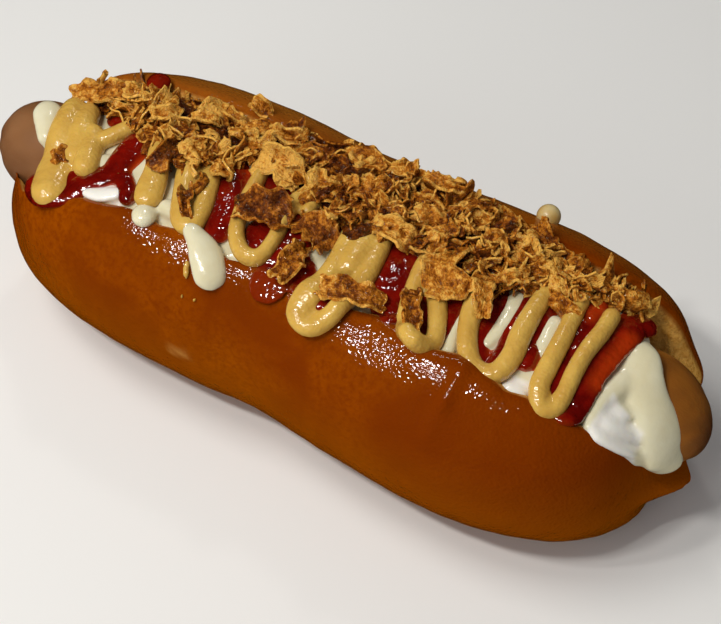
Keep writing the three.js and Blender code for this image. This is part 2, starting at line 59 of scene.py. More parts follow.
# ---------------------------------------------------------------- driving sizes
ROLL_LENGTH = 154.0
ROLL_MIDDLE = -1.0      # x of its middle
ROLL_WIDTH = 63.0
ROLL_HEIGHT = 50.0
FLAT_DEPTH = 1.0        # cut off below, where it rests
SECTION_POWER = 2.35    # how square its section is
END_POWERS = (3.15, 3.8)    # how blunt its left and its right end are in plan
# Factors of s, s^2, s^3 and s^4, where s runs from -1 to 1 along the roll
WIDTH_TERMS = (0.03, 0.25, 0.03, -0.29)     # swell of its width, as a share
BEND_TERMS = (-7.0, -0.7, 4.5, 2.4)         # sideways bend of its middle
END_RISE = 0.13         # how much fuller it is in height towards its ends
END_SAG = 0.75          # how far its ends sink as they get lower: at 1 the underside is straight
WAIST_X, WAIST_DEPTH, WAIST_REACH = -2.9, 1.8, 11.0     # shallow dent in the near side
RIGHT_TONGUES = (
    # where the roll sticks out at its right end: y, z, reach across and up, how far
    (-5.0, 15.5, 7.0, 3.6, 6.8), (14.0, 24.0, 5.0, 5.5, 3.2),
)
TONGUE_X = (66.0, 76.0)     # from none to all of that
NEAR_LIP = 20.0         # from the roll's middle line to the cut's near edge
NEAR_LIP_TURN = 0.06    # and by this share less at the right end, more at the left
FAR_LIP = 15.0
LIP_SHARE = 0.92        # but no more than this share of the half width
NEAR_LIP_IN = (
    # x, and how far the near edge of the cut lies inwards of its even line
    (-77, 3.4), (-70, 3.2), (-66, 1.8), (-61, 0.2), (-54, 0.2), (-44, 0.8), (-38, 1.8),
    (-30.5, 1.2), (-24.5, 2.6), (-19, 2.0), (-13.5, 1.1), (-7, 2.3), (3, 1.6), (12.5, 1.9),
    (19.5, 3.2), (24.5, 2.7), (32, 0.9), (38, 2.0), (45, 0.6), (48.5, -0.8), (53, -0.3),
    (58, -0.6), (64.5, 0.1), (70.5, 2.5), (75, 3.6),
)

SAUSAGE_RADIUS = 10.4
SAUSAGE_CAPS = (12.0, 14.0)     # length of its round left and right end
SAUSAGE_TIPS = (-82.0, 84.4)    # x of both tips
SAUSAGE_START = (0.5, 32.6)     # y and z of the left tip
SAUSAGE_END = (-2.4, 30.5)      # y and z of the right tip before it droops
SAUSAGE_DROOP = (1.8, 1.2)      # how far the right tip bends to the near side and down
DROOP_START = 60.0              # x from which on it does

COAT = 1.5              # sauce over the sausage
BED_CROWN = 1.5         # how much higher the bed is in the middle than at its edges
BED_DEPTH = 6.0
BED_ENDS = (-67.0, 72.6)
BED_SLANTS = (5.0, 10.5)    # its left end is rounded by this, its right one cut back on the far side
BED_GAP = 0.2           # between the bed and both edges of the cut
BED_LIMIT = 45.5        # the brim counts only up to this height
BED_LOW = 0.4           # the bed lies this much below the brim
BED_SINK = 0.8          # and settles this much further
RIM_SINK = 1.8          # and this much more behind the near lip, on the right half
RIM_SINK_X = ((14.0, 26.0), (70.0, 64.0))   # from none to all of that, at both ends

HEAP_ENDS = (-62.0, 62.8)
# Rows of x and a value, with straight lines in between
HEAP_NEAR_EDGE = (      # y of the heap's near edge
    (-62, 8), (-50, 3), (-41, -1.5), (-34, -3), (-27, -4), (-24, 2), (-18, 5), (-11, 1.5),
    (0, -3), (7, -4), (14, -2), (22, -3), (33, -4), (39, -5), (43, 0), (51, 0), (56, 5), (65, 9),
)
HEAP_FAR_EDGE = (       # how far the heap reaches beyond the cut's far edge
    (-62, -1.0), (-20, 1.0), (0, 1.5), (12, 2.0), (34, 1.5), (43, 0.0), (50, -2.6), (65, -5.0),
)
HEAP_FAR_RIM = (        # height of its far rim above what it lies on
    (-62, -0.8), (-20, -0.8), (0, 1.0), (12, 2.4), (20, 1.8), (28, 2.4), (34, 1.8), (48, 0.4),
    (65, 0.0),
)
HEAP_HEIGHT = (         # height of its middle above both rims
    (-62, 2.0), (-40, 2.8), (-20, 3.0), (0, 3.4), (30, 3.6), (50, 3.0), (65, 1.8),
)
HEAP_NEAR_RIM = 2.2
HEAP_HOLLOW = 1.6       # how much the sauces sag under the onions
HEAP_SLOPE = 4.0        # over this distance from the heap's edge


# ---------------------------------------------------------------- numbers and noise
def terms(factors, s):
    """The sum of factors[k] times s to the power k + 1."""
    return sum(factor * s ** (k + 1) for k, factor in enumerate(factors))


def signed_power(value, power):
    """The value's size raised to a power, with its sign kept."""
    return np.sign(value) * np.abs(value) ** power


def fraction(value):
    """What is left of the value above its whole number."""
    return value - np.floor(value)


def rising(value, none, full):
    """A share that goes evenly from 0 where the value is none to 1 where it is full."""
    return np.clip((value - none) / (full - none), 0, 1)


def unit(vectors):
    """The vectors at length 1."""
    return vectors / np.maximum(np.linalg.norm(vectors, axis=-1, keepdims=True), 1e-9)


def lattice(cell, seed):
    """A repeatable value from 0 to 1 at whole-number points, from multiplied and mixed bits."""
    mixed = (cell[..., 0] * 374761393 + cell[..., 1] * 668265263
             + cell[..., 2] * 1442695041 + seed * 974634777)
    mixed = (mixed ^ (mixed >> 13)) * 1274126177
    mixed = mixed ^ (mixed >> 16)
    return (mixed & 0xFFFF) / 0xFFFF


def noise(points, size, seed):
    """Smooth noise from -1 to 1: lattice values blended by a smoothstep in each direction."""
    cell = np.asarray(points, float) / size
    low = np.floor(cell).astype(np.int64)
    t = cell - low
    t = t * t * (3 - 2 * t)
    total = np.zeros(cell.shape[:-1])
    for corner in np.ndindex(2, 2, 2):
        weight = np.prod(np.where(corner, t, 1 - t), axis=-1)
        total += weight * lattice(low + np.array(corner), seed)
    return 2 * total - 1


def rough_noise(points, size, seed, octaves=3):
    """Noise of several sizes, each half as large and half as strong as the one before."""
    return sum(noise(points, size / 2 ** k, seed + k) / 2 ** k for k in range(octaves))


def segment_distance(points, start, end):
    """Distance from points to the straight segment between start and end."""
    start, end = np.asarray(start, float), np.asarray(end, float)
    along = np.clip((points - start) @ (end - start) / np.sum((end - start) ** 2), 0, 1)
    return np.linalg.norm(points - start - along[..., None] * (end - start), axis=-1)


# ---------------------------------------------------------------- mesh helpers
def band_faces(rows, columns, closed):
    """Quads between neighbouring rows of a grid; closed also joins the last column to the first."""
    last = columns if closed else columns - 1
    row, column = np.meshgrid(np.arange(rows - 1), np.arange(last), indexing="ij")
    a = row * columns + column
    b = row * columns + (column + 1) % columns
    return np.stack([a, b, b + columns, a + columns], axis=-1).reshape(-1, 4)


def closed_tube(rings):
    """Points and faces of a tube from rings (rows, columns, 3), each end closed by a fan."""
    rows, columns = rings.shape[:2]
    points = np.vstack([rings.reshape(-1, 3), rings[0].mean(axis=0), rings[-1].mean(axis=0)])
    around = np.arange(columns)
    after = (around + 1) % columns
    hub = rows * columns
    last = (rows - 1) * columns
    faces = band_faces(rows, columns, True).tolist()
    faces += np.stack([after, around, np.full(columns, hub)], axis=-1).tolist()
    faces += np.stack([last + around, last + after, np.full(columns, hub + 1)], axis=-1).tolist()
    return points, faces


def gather(parts):
    """Several (points, faces) as one."""
    points, faces, start = [], [], 0
    for part_points, part_faces in parts:
        points.append(part_points)
        faces += [[index + start for index in face] for face in part_faces]
        start += len(part_points)
    return np.vstack(points), faces


def new_object(name, points, faces, material, attributes=None):
    """A smooth-shaded mesh object at the origin, from points in millimetres, facing outwards."""
    mesh = bpy.data.meshes.new(name)
    mesh.from_pydata((np.asarray(points) * MM).tolist(), [], faces)
    for attribute, values in (attributes or {}).items():
        layer = mesh.attributes.new(attribute, "FLOAT", "POINT")
        layer.data.foreach_set("value", np.asarray(values, np.float32).ravel())
    mesh.polygons.foreach_set("use_smooth", np.ones(len(mesh.polygons), bool))
    mesh.materials.append(material)
    mesh.update()
    piece = bpy.data.objects.new(name, mesh)
    bpy.context.scene.collection.objects.link(piece)
    return piece


def signed_volume(points, faces):
    """Volume inside a closed surface: positive where its faces point outwards."""
    total = 0.0
    for size in (3, 4):
        ring = np.array([face for face in faces if len(face) == size])
        if len(ring):
            for k in range(1, size - 1):
                a, b, c = points[ring[:, 0]], points[ring[:, k]], points[ring[:, k + 1]]
                total += np.einsum("ij,ij->i", a, np.cross(b, c)).sum() / 6
    return total


def outward(points, faces):
    """The same surface with its faces turned where it was inside out."""
    if signed_volume(points, faces) < 0:
        faces = [face[::-1] for face in faces]
    return points, faces


def bake_modifiers(piece):
    """Puts the result of the piece's modifiers in its mesh and removes them."""
    result = bpy.data.meshes.new_from_object(
        piece.evaluated_get(bpy.context.evaluated_depsgraph_get()))
    materials = list(piece.data.materials)
    piece.modifiers.clear()
    piece.data = result
    piece.data.materials.clear()
    for material in materials:
        piece.data.materials.append(material)
    piece.data.polygons.foreach_set("use_smooth", np.ones(len(piece.data.polygons), bool))


def melt(piece, voxel, rounds):
    """Runs overlapping strands together into one skin, and lets it settle smooth."""
    remesh = piece.modifiers.new("Melt", "REMESH")
    remesh.mode = "VOXEL"
    remesh.voxel_size = voxel
    smooth = piece.modifiers.new("Settle", "SMOOTH")
    smooth.factor = 0.5
    smooth.iterations = rounds
    bake_modifiers(piece)


def mesh_points(piece):
    """The points of a piece's mesh, in millimetres."""
    points = np.empty(len(piece.data.vertices) * 3, np.float32)
    piece.data.vertices.foreach_get("co", points)
    return points.reshape(-1, 3).astype(float) / MM


def set_attribute(piece, name, values):
    """Writes one number for each point of a piece, for its material to read."""
    layer = piece.data.attributes.get(name) or piece.data.attributes.new(name, "FLOAT", "POINT")
    layer.data.foreach_set("value", np.asarray(values, np.float32))


def dress(piece, slot, *nodes):
    """Lets a finished piece ride on the part and hides the nodes it replaces. Its slot is not used.
    """
    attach(piece, "root")
    if nodes:
        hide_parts(*nodes)


# ---------------------------------------------------------------- shape of the roll
def roll_section(x):
    """Half width, half height, centre height and sideways middle of the roll at x.

    In plan each end is a superellipse; the width also swells by a polynomial of the place along
    the roll, and the middle line bends by another one.
    """
    s = np.clip((x - ROLL_MIDDLE) / (ROLL_LENGTH / 2), -1, 1)
    power = np.where(s < 0, END_POWERS[0], END_POWERS[1])
    taper = (1 - np.abs(s) ** power) ** (1 / power)
    half = ROLL_WIDTH / 2 * taper * (1 + terms(WIDTH_TERMS, s))
    rise = ROLL_HEIGHT / 2 * taper ** 0.8 * (1 + END_RISE * s * s)
    centre = ROLL_HEIGHT / 2 - END_SAG * (ROLL_HEIGHT / 2 - rise) - FLAT_DEPTH
    return s, half, rise, centre, terms(BEND_TERMS, s)


def roll_top(x, y):
    """Height of the uncut roll's upper surface: a superellipse across it."""
    _, half, rise, centre, middle = roll_section(x)
    share = np.clip(np.abs(y - middle) / np.maximum(half, 0.001), 0, 1)
    return centre + rise * (1 - share ** SECTION_POWER) ** (1 / SECTION_POWER)


def along(knots, x):
    """The value at x of a line through (x, value) knots."""
    return np.interp(x, *np.array(knots, float).T)


def lip(x, side):
    """Place across and height of the cut's edge at x: side -1 is the near one, 1 the far one."""
    s, half, _, _, middle = roll_section(x)
    reach = NEAR_LIP * (1 - NEAR_LIP_TURN * s) if side < 0 else FAR_LIP
    y = middle + side * np.minimum(reach, LIP_SHARE * half)
    if side < 0:
        y = y + along(NEAR_LIP_IN, x)
    return y, roll_top(x, y)


def sausage_centre(x):
    """The sausage's centre line: straight between its tips, but its right end droops."""
    share = (x - SAUSAGE_TIPS[0]) / (SAUSAGE_TIPS[1] - SAUSAGE_TIPS[0])
    droop = rising(x, DROOP_START, SAUSAGE_TIPS[1]) ** 2
    return tuple(a + (b - a) * share - fall * droop
                 for a, b, fall in zip(SAUSAGE_START, SAUSAGE_END, SAUSAGE_DROOP))


def bed_top(x, y):
    """Height of the sauce bed: a low crown between both lips, or the coat over the sausage."""
    near_y, near_z = lip(x, -1)
    far_y, far_z = lip(x, 1)
    share = np.clip((2 * y - near_y - far_y) / (far_y - near_y), -1, 1)
    rim = near_z + (far_z - near_z) * (share + 1) / 2
    fill = np.minimum(rim, BED_LIMIT) + BED_CROWN * (1 - share * share) - BED_LOW
    centre_y, centre_z = sausage_centre(x)
    body = np.clip(x, SAUSAGE_TIPS[0] + SAUSAGE_CAPS[0], SAUSAGE_TIPS[1] - SAUSAGE_CAPS[1])
    cap = np.where(x < 0, *SAUSAGE_CAPS)
    square = ((SAUSAGE_RADIUS + COAT) ** 2 - ((x - body) * SAUSAGE_RADIUS / cap) ** 2
              - (y - centre_y) ** 2)
    return np.maximum(fill, np.where(square > 0, centre_z + np.sqrt(np.maximum(square, 0)), 0))


def settled_bed(x, y):
    """The bed a little below the brim, and lower still behind the near lip of the right half."""
    near_y, far_y = lip(x, -1)[0], lip(x, 1)[0]
    share = np.clip((2 * y - near_y - far_y) / (far_y - near_y), -1, 1)
    right = rising(x, *RIM_SINK_X[0]) * rising(x, *RIM_SINK_X[1])
    return bed_top(x, y) - BED_SINK - RIM_SINK * right * np.clip(-share, 0, 1) ** 3


def lie_on(x, y):
    """Height of what the sauces and the onions lie on: the bed inside the cut, else the roll."""
    inside = (y > lip(x, -1)[0]) & (y < lip(x, 1)[0])
    return np.where(inside, settled_bed(x, y), roll_top(x, y))


def under_heap(x, y):
    """0 in front of the onion heap, 1 from HEAP_SLOPE behind its near edge and its ends."""
    left, right = HEAP_ENDS
    inside = np.minimum(x - left, right - x) / HEAP_SLOPE
    behind = (y - along(HEAP_NEAR_EDGE, x)) / HEAP_SLOPE
    return np.clip(inside, 0, 1) * np.clip(behind, 0, 1)


# ---------------------------------------------------------------- squeezed strands
STRAND_STEP = 0.7       # between rings
STRAND_SIDES = 14
STRAND_LUMPS = 5.0      # size of the unevenness of its width


def smooth_path(knots):
    """A Catmull-Rom curve through the knots, resampled at even steps.

    Columns after x and y, such as the width, are carried along in the same way.
    """
    knots = np.asarray(knots, float)
    padded = np.vstack([2 * knots[0] - knots[1], knots, 2 * knots[-1] - knots[-2]])
    t = np.linspace(0, 1, 12, endpoint=False)[:, None, None]
    a, b, c, d = padded[:-3], padded[1:-2], padded[2:-1], padded[3:]
    curve = 0.5 * (2 * b + (c - a) * t + (2 * a - 5 * b + 4 * c - d) * t ** 2
                   + (3 * b - a - 3 * c + d) * t ** 3)
    dense = np.vstack([curve.transpose(1, 0, 2).reshape(-1, knots.shape[1]), knots[-1:]])
    places = np.delete(dense, 2, axis=1)
    run = np.concatenate([[0], np.cumsum(np.linalg.norm(np.diff(places, axis=0), axis=1))])
    at = np.linspace(0, run[-1], max(int(run[-1] / STRAND_STEP), 4) + 1)
    return np.stack([np.interp(at, run, column) for column in dense.T], axis=1)


def settled(heights, reach):
    """Heights averaged over a window of 2 * reach + 1 places: a strand doesn't follow every dip."""
    window = np.ones(2 * reach + 1) / (2 * reach + 1)
    return np.convolve(np.pad(heights, reach, mode="edge"), window, mode="valid")


def strand(knots, crown, sole, lift, wobble=0.0, seed=0):
    """A squeezed strand with round ends, along a smooth path of (x, y, width[, z]) knots.

    At each place the profile is an ellipse half a width to either side, crown above and sole
    below its middle. The middle keeps lift above what it lies on, or follows z where knots have
    it. Over the last half width at both ends the profile shrinks as a circle's chord does.
    Wobble makes the width uneven by that share.
    """
    line = smooth_path(knots)
    x, y, width = line[:, 0], line[:, 1], line[:, 2]
    if line.shape[1] > 3:
        heights = line[:, 3]
    else:
        heights = settled(lie_on(x, y) - HEAP_HOLLOW * under_heap(x, y), 2) + lift
    middle = np.stack([x, y, heights], axis=1)
    if wobble:
        width = width * (1 + wobble * rough_noise(middle, STRAND_LUMPS, seed, 2))
    ahead = unit(np.gradient(middle, axis=0))
    side = unit(np.cross([0.0, 0.0, 1.0], ahead))
    up = np.cross(ahead, side)
    run = np.concatenate([[0], np.cumsum(np.linalg.norm(np.diff(middle, axis=0), axis=1))])
    from_end = np.minimum(run, run[-1] - run)
    shrink = np.sqrt(np.clip(1 - np.clip(1 - from_end / (width / 2), 0, 1) ** 2, 0.02, 1))
    a = 2 * math.pi * np.arange(STRAND_SIDES) / STRAND_SIDES
    reach = np.where(np.sin(a) > 0, crown, sole)
    rings = (middle[:, None]
             + side[:, None] * (width * shrink / 2)[:, None, None] * np.cos(a)[:, None]
             + up[:, None] * shrink[:, None, None] * (reach * np.sin(a))[:, None])
    return outward(*closed_tube(rings))


def strands(rows, shape, seed=0):
    """One strand for each row of knots, with one shape and numbered seeds."""
    return [strand(row, seed=seed + k, **shape) for k, row in enumerate(rows)]


def blob(centre, radii):
    """An ellipsoid with radii (along x, along y, up), as rings from pole to pole."""
    sides, rows = 28, 17
    polar = math.pi * (np.arange(rows) + 0.5) / rows
    around = 2 * math.pi * np.arange(sides) / sides
    rings = np.stack([np.sin(polar)[:, None] * np.cos(around), np.sin(polar)[:, None]
                      * np.sin(around), np.repeat(np.cos(polar)[:, None], sides, 1)], axis=-1)
    return outward(*closed_tube(rings * np.asarray(radii) + np.asarray(centre)))


# ---------------------------------------------------------------- material helpers
def new_material(name):
    """An empty node material with its output; returns the material and its node tree."""
    material = bpy.data.materials.new(name)
    material.use_nodes = True
    material.node_tree.nodes.clear()
    return material, material.node_tree


def node(tree, kind, inputs=None, **settings):
    """Adds a shader node, sets its options, and sets or links its inputs by name or number."""
    made = tree.nodes.new(kind)
    for key, value in settings.items():
        setattr(made, key, value)
    for key, value in (inputs or {}).items():
        if isinstance(value, bpy.types.NodeSocket):
            tree.links.new(value, made.inputs[key])
        else:
            made.inputs[key].default_value = value
    return made


def math_node(tree, operation, *values):
    """A Math node's result."""
    made = node(tree, "ShaderNodeMath", dict(enumerate(values)), operation=operation)
    return made.outputs[0]


def grain(tree, place, size, detail, roughness, stretch=None, distortion=0.0):
    """Noise on Object coordinates whose features are about size, in metres."""
    if stretch:
        place = node(tree, "ShaderNodeMapping", {"Vector": place, "Scale": stretch}).outputs[0]
    return node(tree, "ShaderNodeTexNoise", {
        "Vector": place, "Scale": 1 / size, "Detail": detail, "Roughness": roughness,
        "Distortion": distortion}).outputs["Fac"]


def spread(tree, value, low, high, to_low=0.0, to_high=1.0):
    """The value moved from the range low to high onto another range, and held inside it."""
    return node(tree, "ShaderNodeMapRange", {
        "Value": value, "From Min": low, "From Max": high, "To Min": to_low,
        "To Max": to_high}).outputs["Result"]


def mix(tree, share, first, second):
    """Two colours mixed by a share from 0 to 1."""
    made = node(tree, "ShaderNodeMix", data_type="RGBA")
    for key, value in ((0, share), (6, first), (7, second)):
        if isinstance(value, bpy.types.NodeSocket):
            tree.links.new(value, made.inputs[key])
        elif key == 0:
            made.inputs[key].default_value = value
        else:
            made.inputs[key].default_value = (*value, 1.0)
    return made.outputs[2]


def attribute(tree, name):
    """A number that the piece's mesh holds for each point."""
    return node(tree, "ShaderNodeAttribute", attribute_name=name).outputs["Fac"]


def bump(tree, height, depth):
    """Relief of that depth in metres, from a height of 0 to 1."""
    return node(tree, "ShaderNodeBump", {
        "Height": height, "Distance": depth, "Strength": 1.0}).outputs["Normal"]


def finish_material(material, tree, inputs):
    """A Principled surface with these inputs; its coat follows the same relief."""
    surface = node(tree, "ShaderNodeBsdfPrincipled", inputs)
    if "Normal" in inputs:
        tree.links.new(inputs["Normal"], surface.inputs["Coat Normal"])
    node(tree, "ShaderNodeOutputMaterial", {"Surface": surface.outputs[0]})
    return material


# ---------------------------------------------------------------- materials
def crust_material(colours):
    """Egg-washed brown crust, darker and redder in patches, pale crumb where the roll is cut; painted
    shade towards the right end of the near side, painted bounce light towards the underside and a
    painted sheen on the far half.
    """
    material, tree = new_material("bun_crust")
    place = node(tree, "ShaderNodeTexCoord").outputs["Object"]
    patches = grain(tree, place, 0.022, 3.0, 0.55, distortion=0.6)
    freckles = grain(tree, place, 0.0012, 2.0, 0.6)
    parts = node(tree, "ShaderNodeSeparateXYZ", {"Vector": place}).outputs
    crust = mix(tree, spread(tree, patches, 0.4, 0.62), colours.crust, colours.crust_dark)
    crust = mix(tree, spread(tree, freckles, 0.42, 0.7, 0.0, 0.8), crust, colours.crust_dark)
    # Painted shade: the near side darkens towards the right end, where the light falls off
    right = math_node(tree, "MULTIPLY", spread(tree, parts["X"], 0.0, 0.05, 0.0, 0.85),
                      spread(tree, parts["Y"], 0.0, 0.012, 1.0, 0.2))
    crust = mix(tree, right, crust, colours.crust_dark)
    # Painted bounce light: lighter and yellower towards the underside
    crust = mix(tree, spread(tree, parts["Z"], 0.034, 0.0, 0.0, 0.9), crust, colours.crust_low)
    # Painted sheen: the far half paler and less saturated, in place of the reflection of the pale
    # surroundings
    crust = mix(tree, spread(tree, parts["Y"], 0.014, 0.026, 0.0, 0.7), crust, colours.crust_far_sheen)
    pale = spread(tree, attribute(tree, "pale"), 0.0, 1.0)
    crust = mix(tree, pale, crust, colours.crumb)
    crumb_grain = grain(tree, place, 0.0012, 4.0, 0.7)
    crumb = mix(tree, spread(tree, crumb_grain, 0.4, 0.7), colours.crumb, colours.crumb_dark)
    cut = attribute(tree, "crumb")
    skin = mix(tree, cut, crust, crumb)
    peel = grain(tree, place, 0.0006, 0.0, 0.4)
    pores = node(tree, "ShaderNodeTexVoronoi", {"Vector": place, "Scale": 1 / 0.0014},
                 feature="SMOOTH_F1").outputs["Distance"]
    relief = math_node(tree, "ADD", math_node(tree, "MULTIPLY", peel, 0.8),
                       math_node(tree, "MULTIPLY", pores, 0.35))
    relief = math_node(tree, "ADD", relief, math_node(
        tree, "MULTIPLY", crumb_grain, math_node(tree, "MULTIPLY", cut, 4.0)))
    roughness = spread(tree, cut, 0.0, 1.0, 0.5, 0.9)
    return finish_material(material, tree, {
        "Base Color": skin, "Roughness": roughness, "Normal": bump(tree, relief, 0.00014),
        "Coat Weight": math_node(tree, "MULTIPLY", math_node(tree, "SUBTRACT", 1.0, cut), 0.9),
        "Coat Roughness": 0.07, "Specular IOR Level": 0.0,
        "Subsurface Weight": 0.08, "Subsurface Radius": (1.0, 0.4, 0.15),
        "Subsurface Scale": 0.002})


def sausage_material(colours):
    """Satin cooked skin, greyer and browner in patches, with fine lengthwise wrinkles."""
    material, tree = new_material("sausage_skin")
    place = node(tree, "ShaderNodeTexCoord").outputs["Object"]
    patches = grain(tree, place, 0.012, 2.0, 0.5)
    wrinkles = grain(tree, place, 0.0012, 3.0, 0.6, stretch=(0.35, 1.0, 1.0))
    ends = node(tree, "ShaderNodeSeparateXYZ", {"Vector": place}).outputs["X"]
    body = mix(tree, spread(tree, ends, -0.06, 0.06), colours.sausage, colours.sausage_warm)
    body = mix(tree, spread(tree, patches, 0.35, 0.7, 0.0, 0.6), body, colours.sausage_dark)
    body = mix(tree, attribute(tree, "tip"), body, colours.sausage_dark)
    return finish_material(material, tree, {
        "Base Color": body, "Roughness": 0.38, "Specular IOR Level": 0.25,
        "Normal": bump(tree, wrinkles, 0.00012),
        "Subsurface Weight": 0.15, "Subsurface Radius": (1.0, 0.35, 0.2),
        "Subsurface Scale": 0.0025, "Coat Weight": 0.12, "Coat Roughness": 0.2})


def sauce_material(name, light, dark, gloss, subsurface, radius, relief, speckle=0.0, painted_light=None):
    """A wet sauce: slow drifts between two tones, fine specks, soft relief and a wet coat."""
    material, tree = new_material(name)
    place = node(tree, "ShaderNodeTexCoord").outputs["Object"]
    drift = grain(tree, place, 0.006, 2.0, 0.5)
    colour = mix(tree, spread(tree, drift, 0.35, 0.65), light, dark)
    if speckle:
        specks = grain(tree, place, 0.0007, 1.0, 0.5)
        colour = mix(tree, spread(tree, specks, 0.62, 0.72, 0.0, speckle), colour, dark)
    # painted light: a whiter colour where the attribute says
    if painted_light:
        colour = mix(tree, attribute(tree, "painted_light"), colour, painted_light)
    lumps = grain(tree, place, 0.0011, 1.0, 0.5)
    return finish_material(material, tree, {
        "Base Color": colour, "Roughness": gloss, "Normal": bump(tree, lumps, relief),
        "Subsurface Weight": subsurface, "Subsurface Radius": radius,
        "Subsurface Scale": 0.002, "Coat Weight": 0.5, "Coat Roughness": 0.08})


def ketchup_material(colours):
    """Wet tomato sauce: orange-red where it is thin, deep red where it is thick, with pulp."""
    material, tree = new_material("ketchup")
    place = node(tree, "ShaderNodeTexCoord").outputs["Object"]
    thin = attribute(tree, "thin")
    drift = grain(tree, place, 0.004, 2.0, 0.5)
    deep = mix(tree, spread(tree, drift, 0.35, 0.65), colours.ketchup, colours.ketchup_dark)
    colour = mix(tree, thin, deep, colours.ketchup_thin)
    colour = mix(tree, attribute(tree, "film"), colour, colours.ketchup_film)
    pulp = grain(tree, place, 0.0015, 1.0, 0.5)
    return finish_material(material, tree, {
        "Base Color": colour, "Roughness": 0.12, "Normal": bump(tree, pulp, 0.00036),
        "Subsurface Weight": 0.1, "Subsurface Radius": (1.0, 0.12, 0.03),
        "Subsurface Scale": 0.0015, "Coat Weight": 1.0, "Coat Roughness": 0.04})


def onion_material(colours):
    """Fried onion: each flake has its own tone, fibres along it, brown spots, painted shade in its
    wrinkles and a painted highlight along its rim.
    """
    material, tree = new_material("onion_flesh")
    place = node(tree, "ShaderNodeTexCoord").outputs["Object"]
    fibre_place = node(tree, "ShaderNodeCombineXYZ", {
        "X": math_node(tree, "MULTIPLY", attribute(tree, "fibre_along"), 0.18),
        "Y": attribute(tree, "fibre_across")}).outputs[0]
    fibres = node(tree, "ShaderNodeTexNoise", {
        "Vector": fibre_place, "Scale": 2.6, "Detail": 2.0, "Roughness": 0.6}).outputs["Fac"]
    mottle = grain(tree, place, 0.0013, 3.0, 0.7)
    wrinkles = grain(tree, place, 0.0009, 2.0, 0.6, distortion=1.0)
    heat = attribute(tree, "tone")
    # the wrinkles are darker in their valleys and paler on their ridges, painted shade; the edge is
    # paler at the rim, a painted highlight
    for value, middle, amount in ((mottle, 0.5, 1.4), (fibres, 0.5, 0.6), (wrinkles, 0.5, -0.9),
                                  (attribute(tree, "edge"), 0.0, -0.3)):
        heat = math_node(tree, "ADD", heat, math_node(
            tree, "MULTIPLY", math_node(tree, "SUBTRACT", value, middle), amount))
    ramp = node(tree, "ShaderNodeValToRGB", {"Fac": heat})
    stops = ramp.color_ramp.elements
    stops[0].position, stops[0].color = 0.02, (*colours.onion_pale, 1)
    stops[1].position, stops[1].color = 1.0, (*colours.onion_burnt_and_shade, 1)
    for position, colour in ((0.3, colours.onion_gold), (0.62, colours.onion_brown)):
        stops.new(position).color = (*colour, 1)
    relief = math_node(tree, "ADD", math_node(tree, "MULTIPLY", fibres, 0.4), wrinkles)
    return finish_material(material, tree, {
        "Base Color": ramp.outputs["Color"], "Roughness": 0.45,
        "Normal": bump(tree, relief, 0.0008), "Subsurface Weight": 0.1,
        "Subsurface Radius": (1.0, 0.5, 0.15), "Subsurface Scale": 0.001,
        "Specular IOR Level": 0.1, "Coat Weight": 0.8, "Coat Roughness": 0.1})


# ---------------------------------------------------------------- roll
CREASES = (
    # start, end, depth and half width of dents and folds in the crust
    ((40.0, -23.1, 45.7), (39.2, -28.5, 41.8), 0.8, 1.3),
    ((39.2, -28.5, 41.8), (38.0, -33.0, 35.5), 0.5, 1.6),
    ((34.7, -35.5, 21.3), (36.6, -35.5, 20.4), 0.3, 0.8),
    ((-25.6, -29.4, 22.9), (-25.0, -29.6, 22.6), 0.4, 0.6),
    ((-21.9, -29.8, 23.4), (-18.1, -30.1, 24.0), 0.25, 1.0),
)
PALE_STREAK = ((-21.5, -29.8, 23.4), (-18.5, -30.1, 24.0), 1.1)
PALE_SHARE = 0.35
CRUMB_EDGE = 1.6        # depth below the crust over which crust turns into crumb
CRUST_LUMPS = 20.0      # size of the roll's slow lumps
CRUST_DENTS = (0.12, 5.0)       # height and size of small dents
CRUMB_PITS = (0.25, 2.2)        # height and size of the crumb's unevenness
LIP_ROUNDING = (4, 5)           # columns to each side of the cut's edges, and rounds
LOWEST_TOUCH = -1.4     # angle on the sausage's circle below which no wall meets it


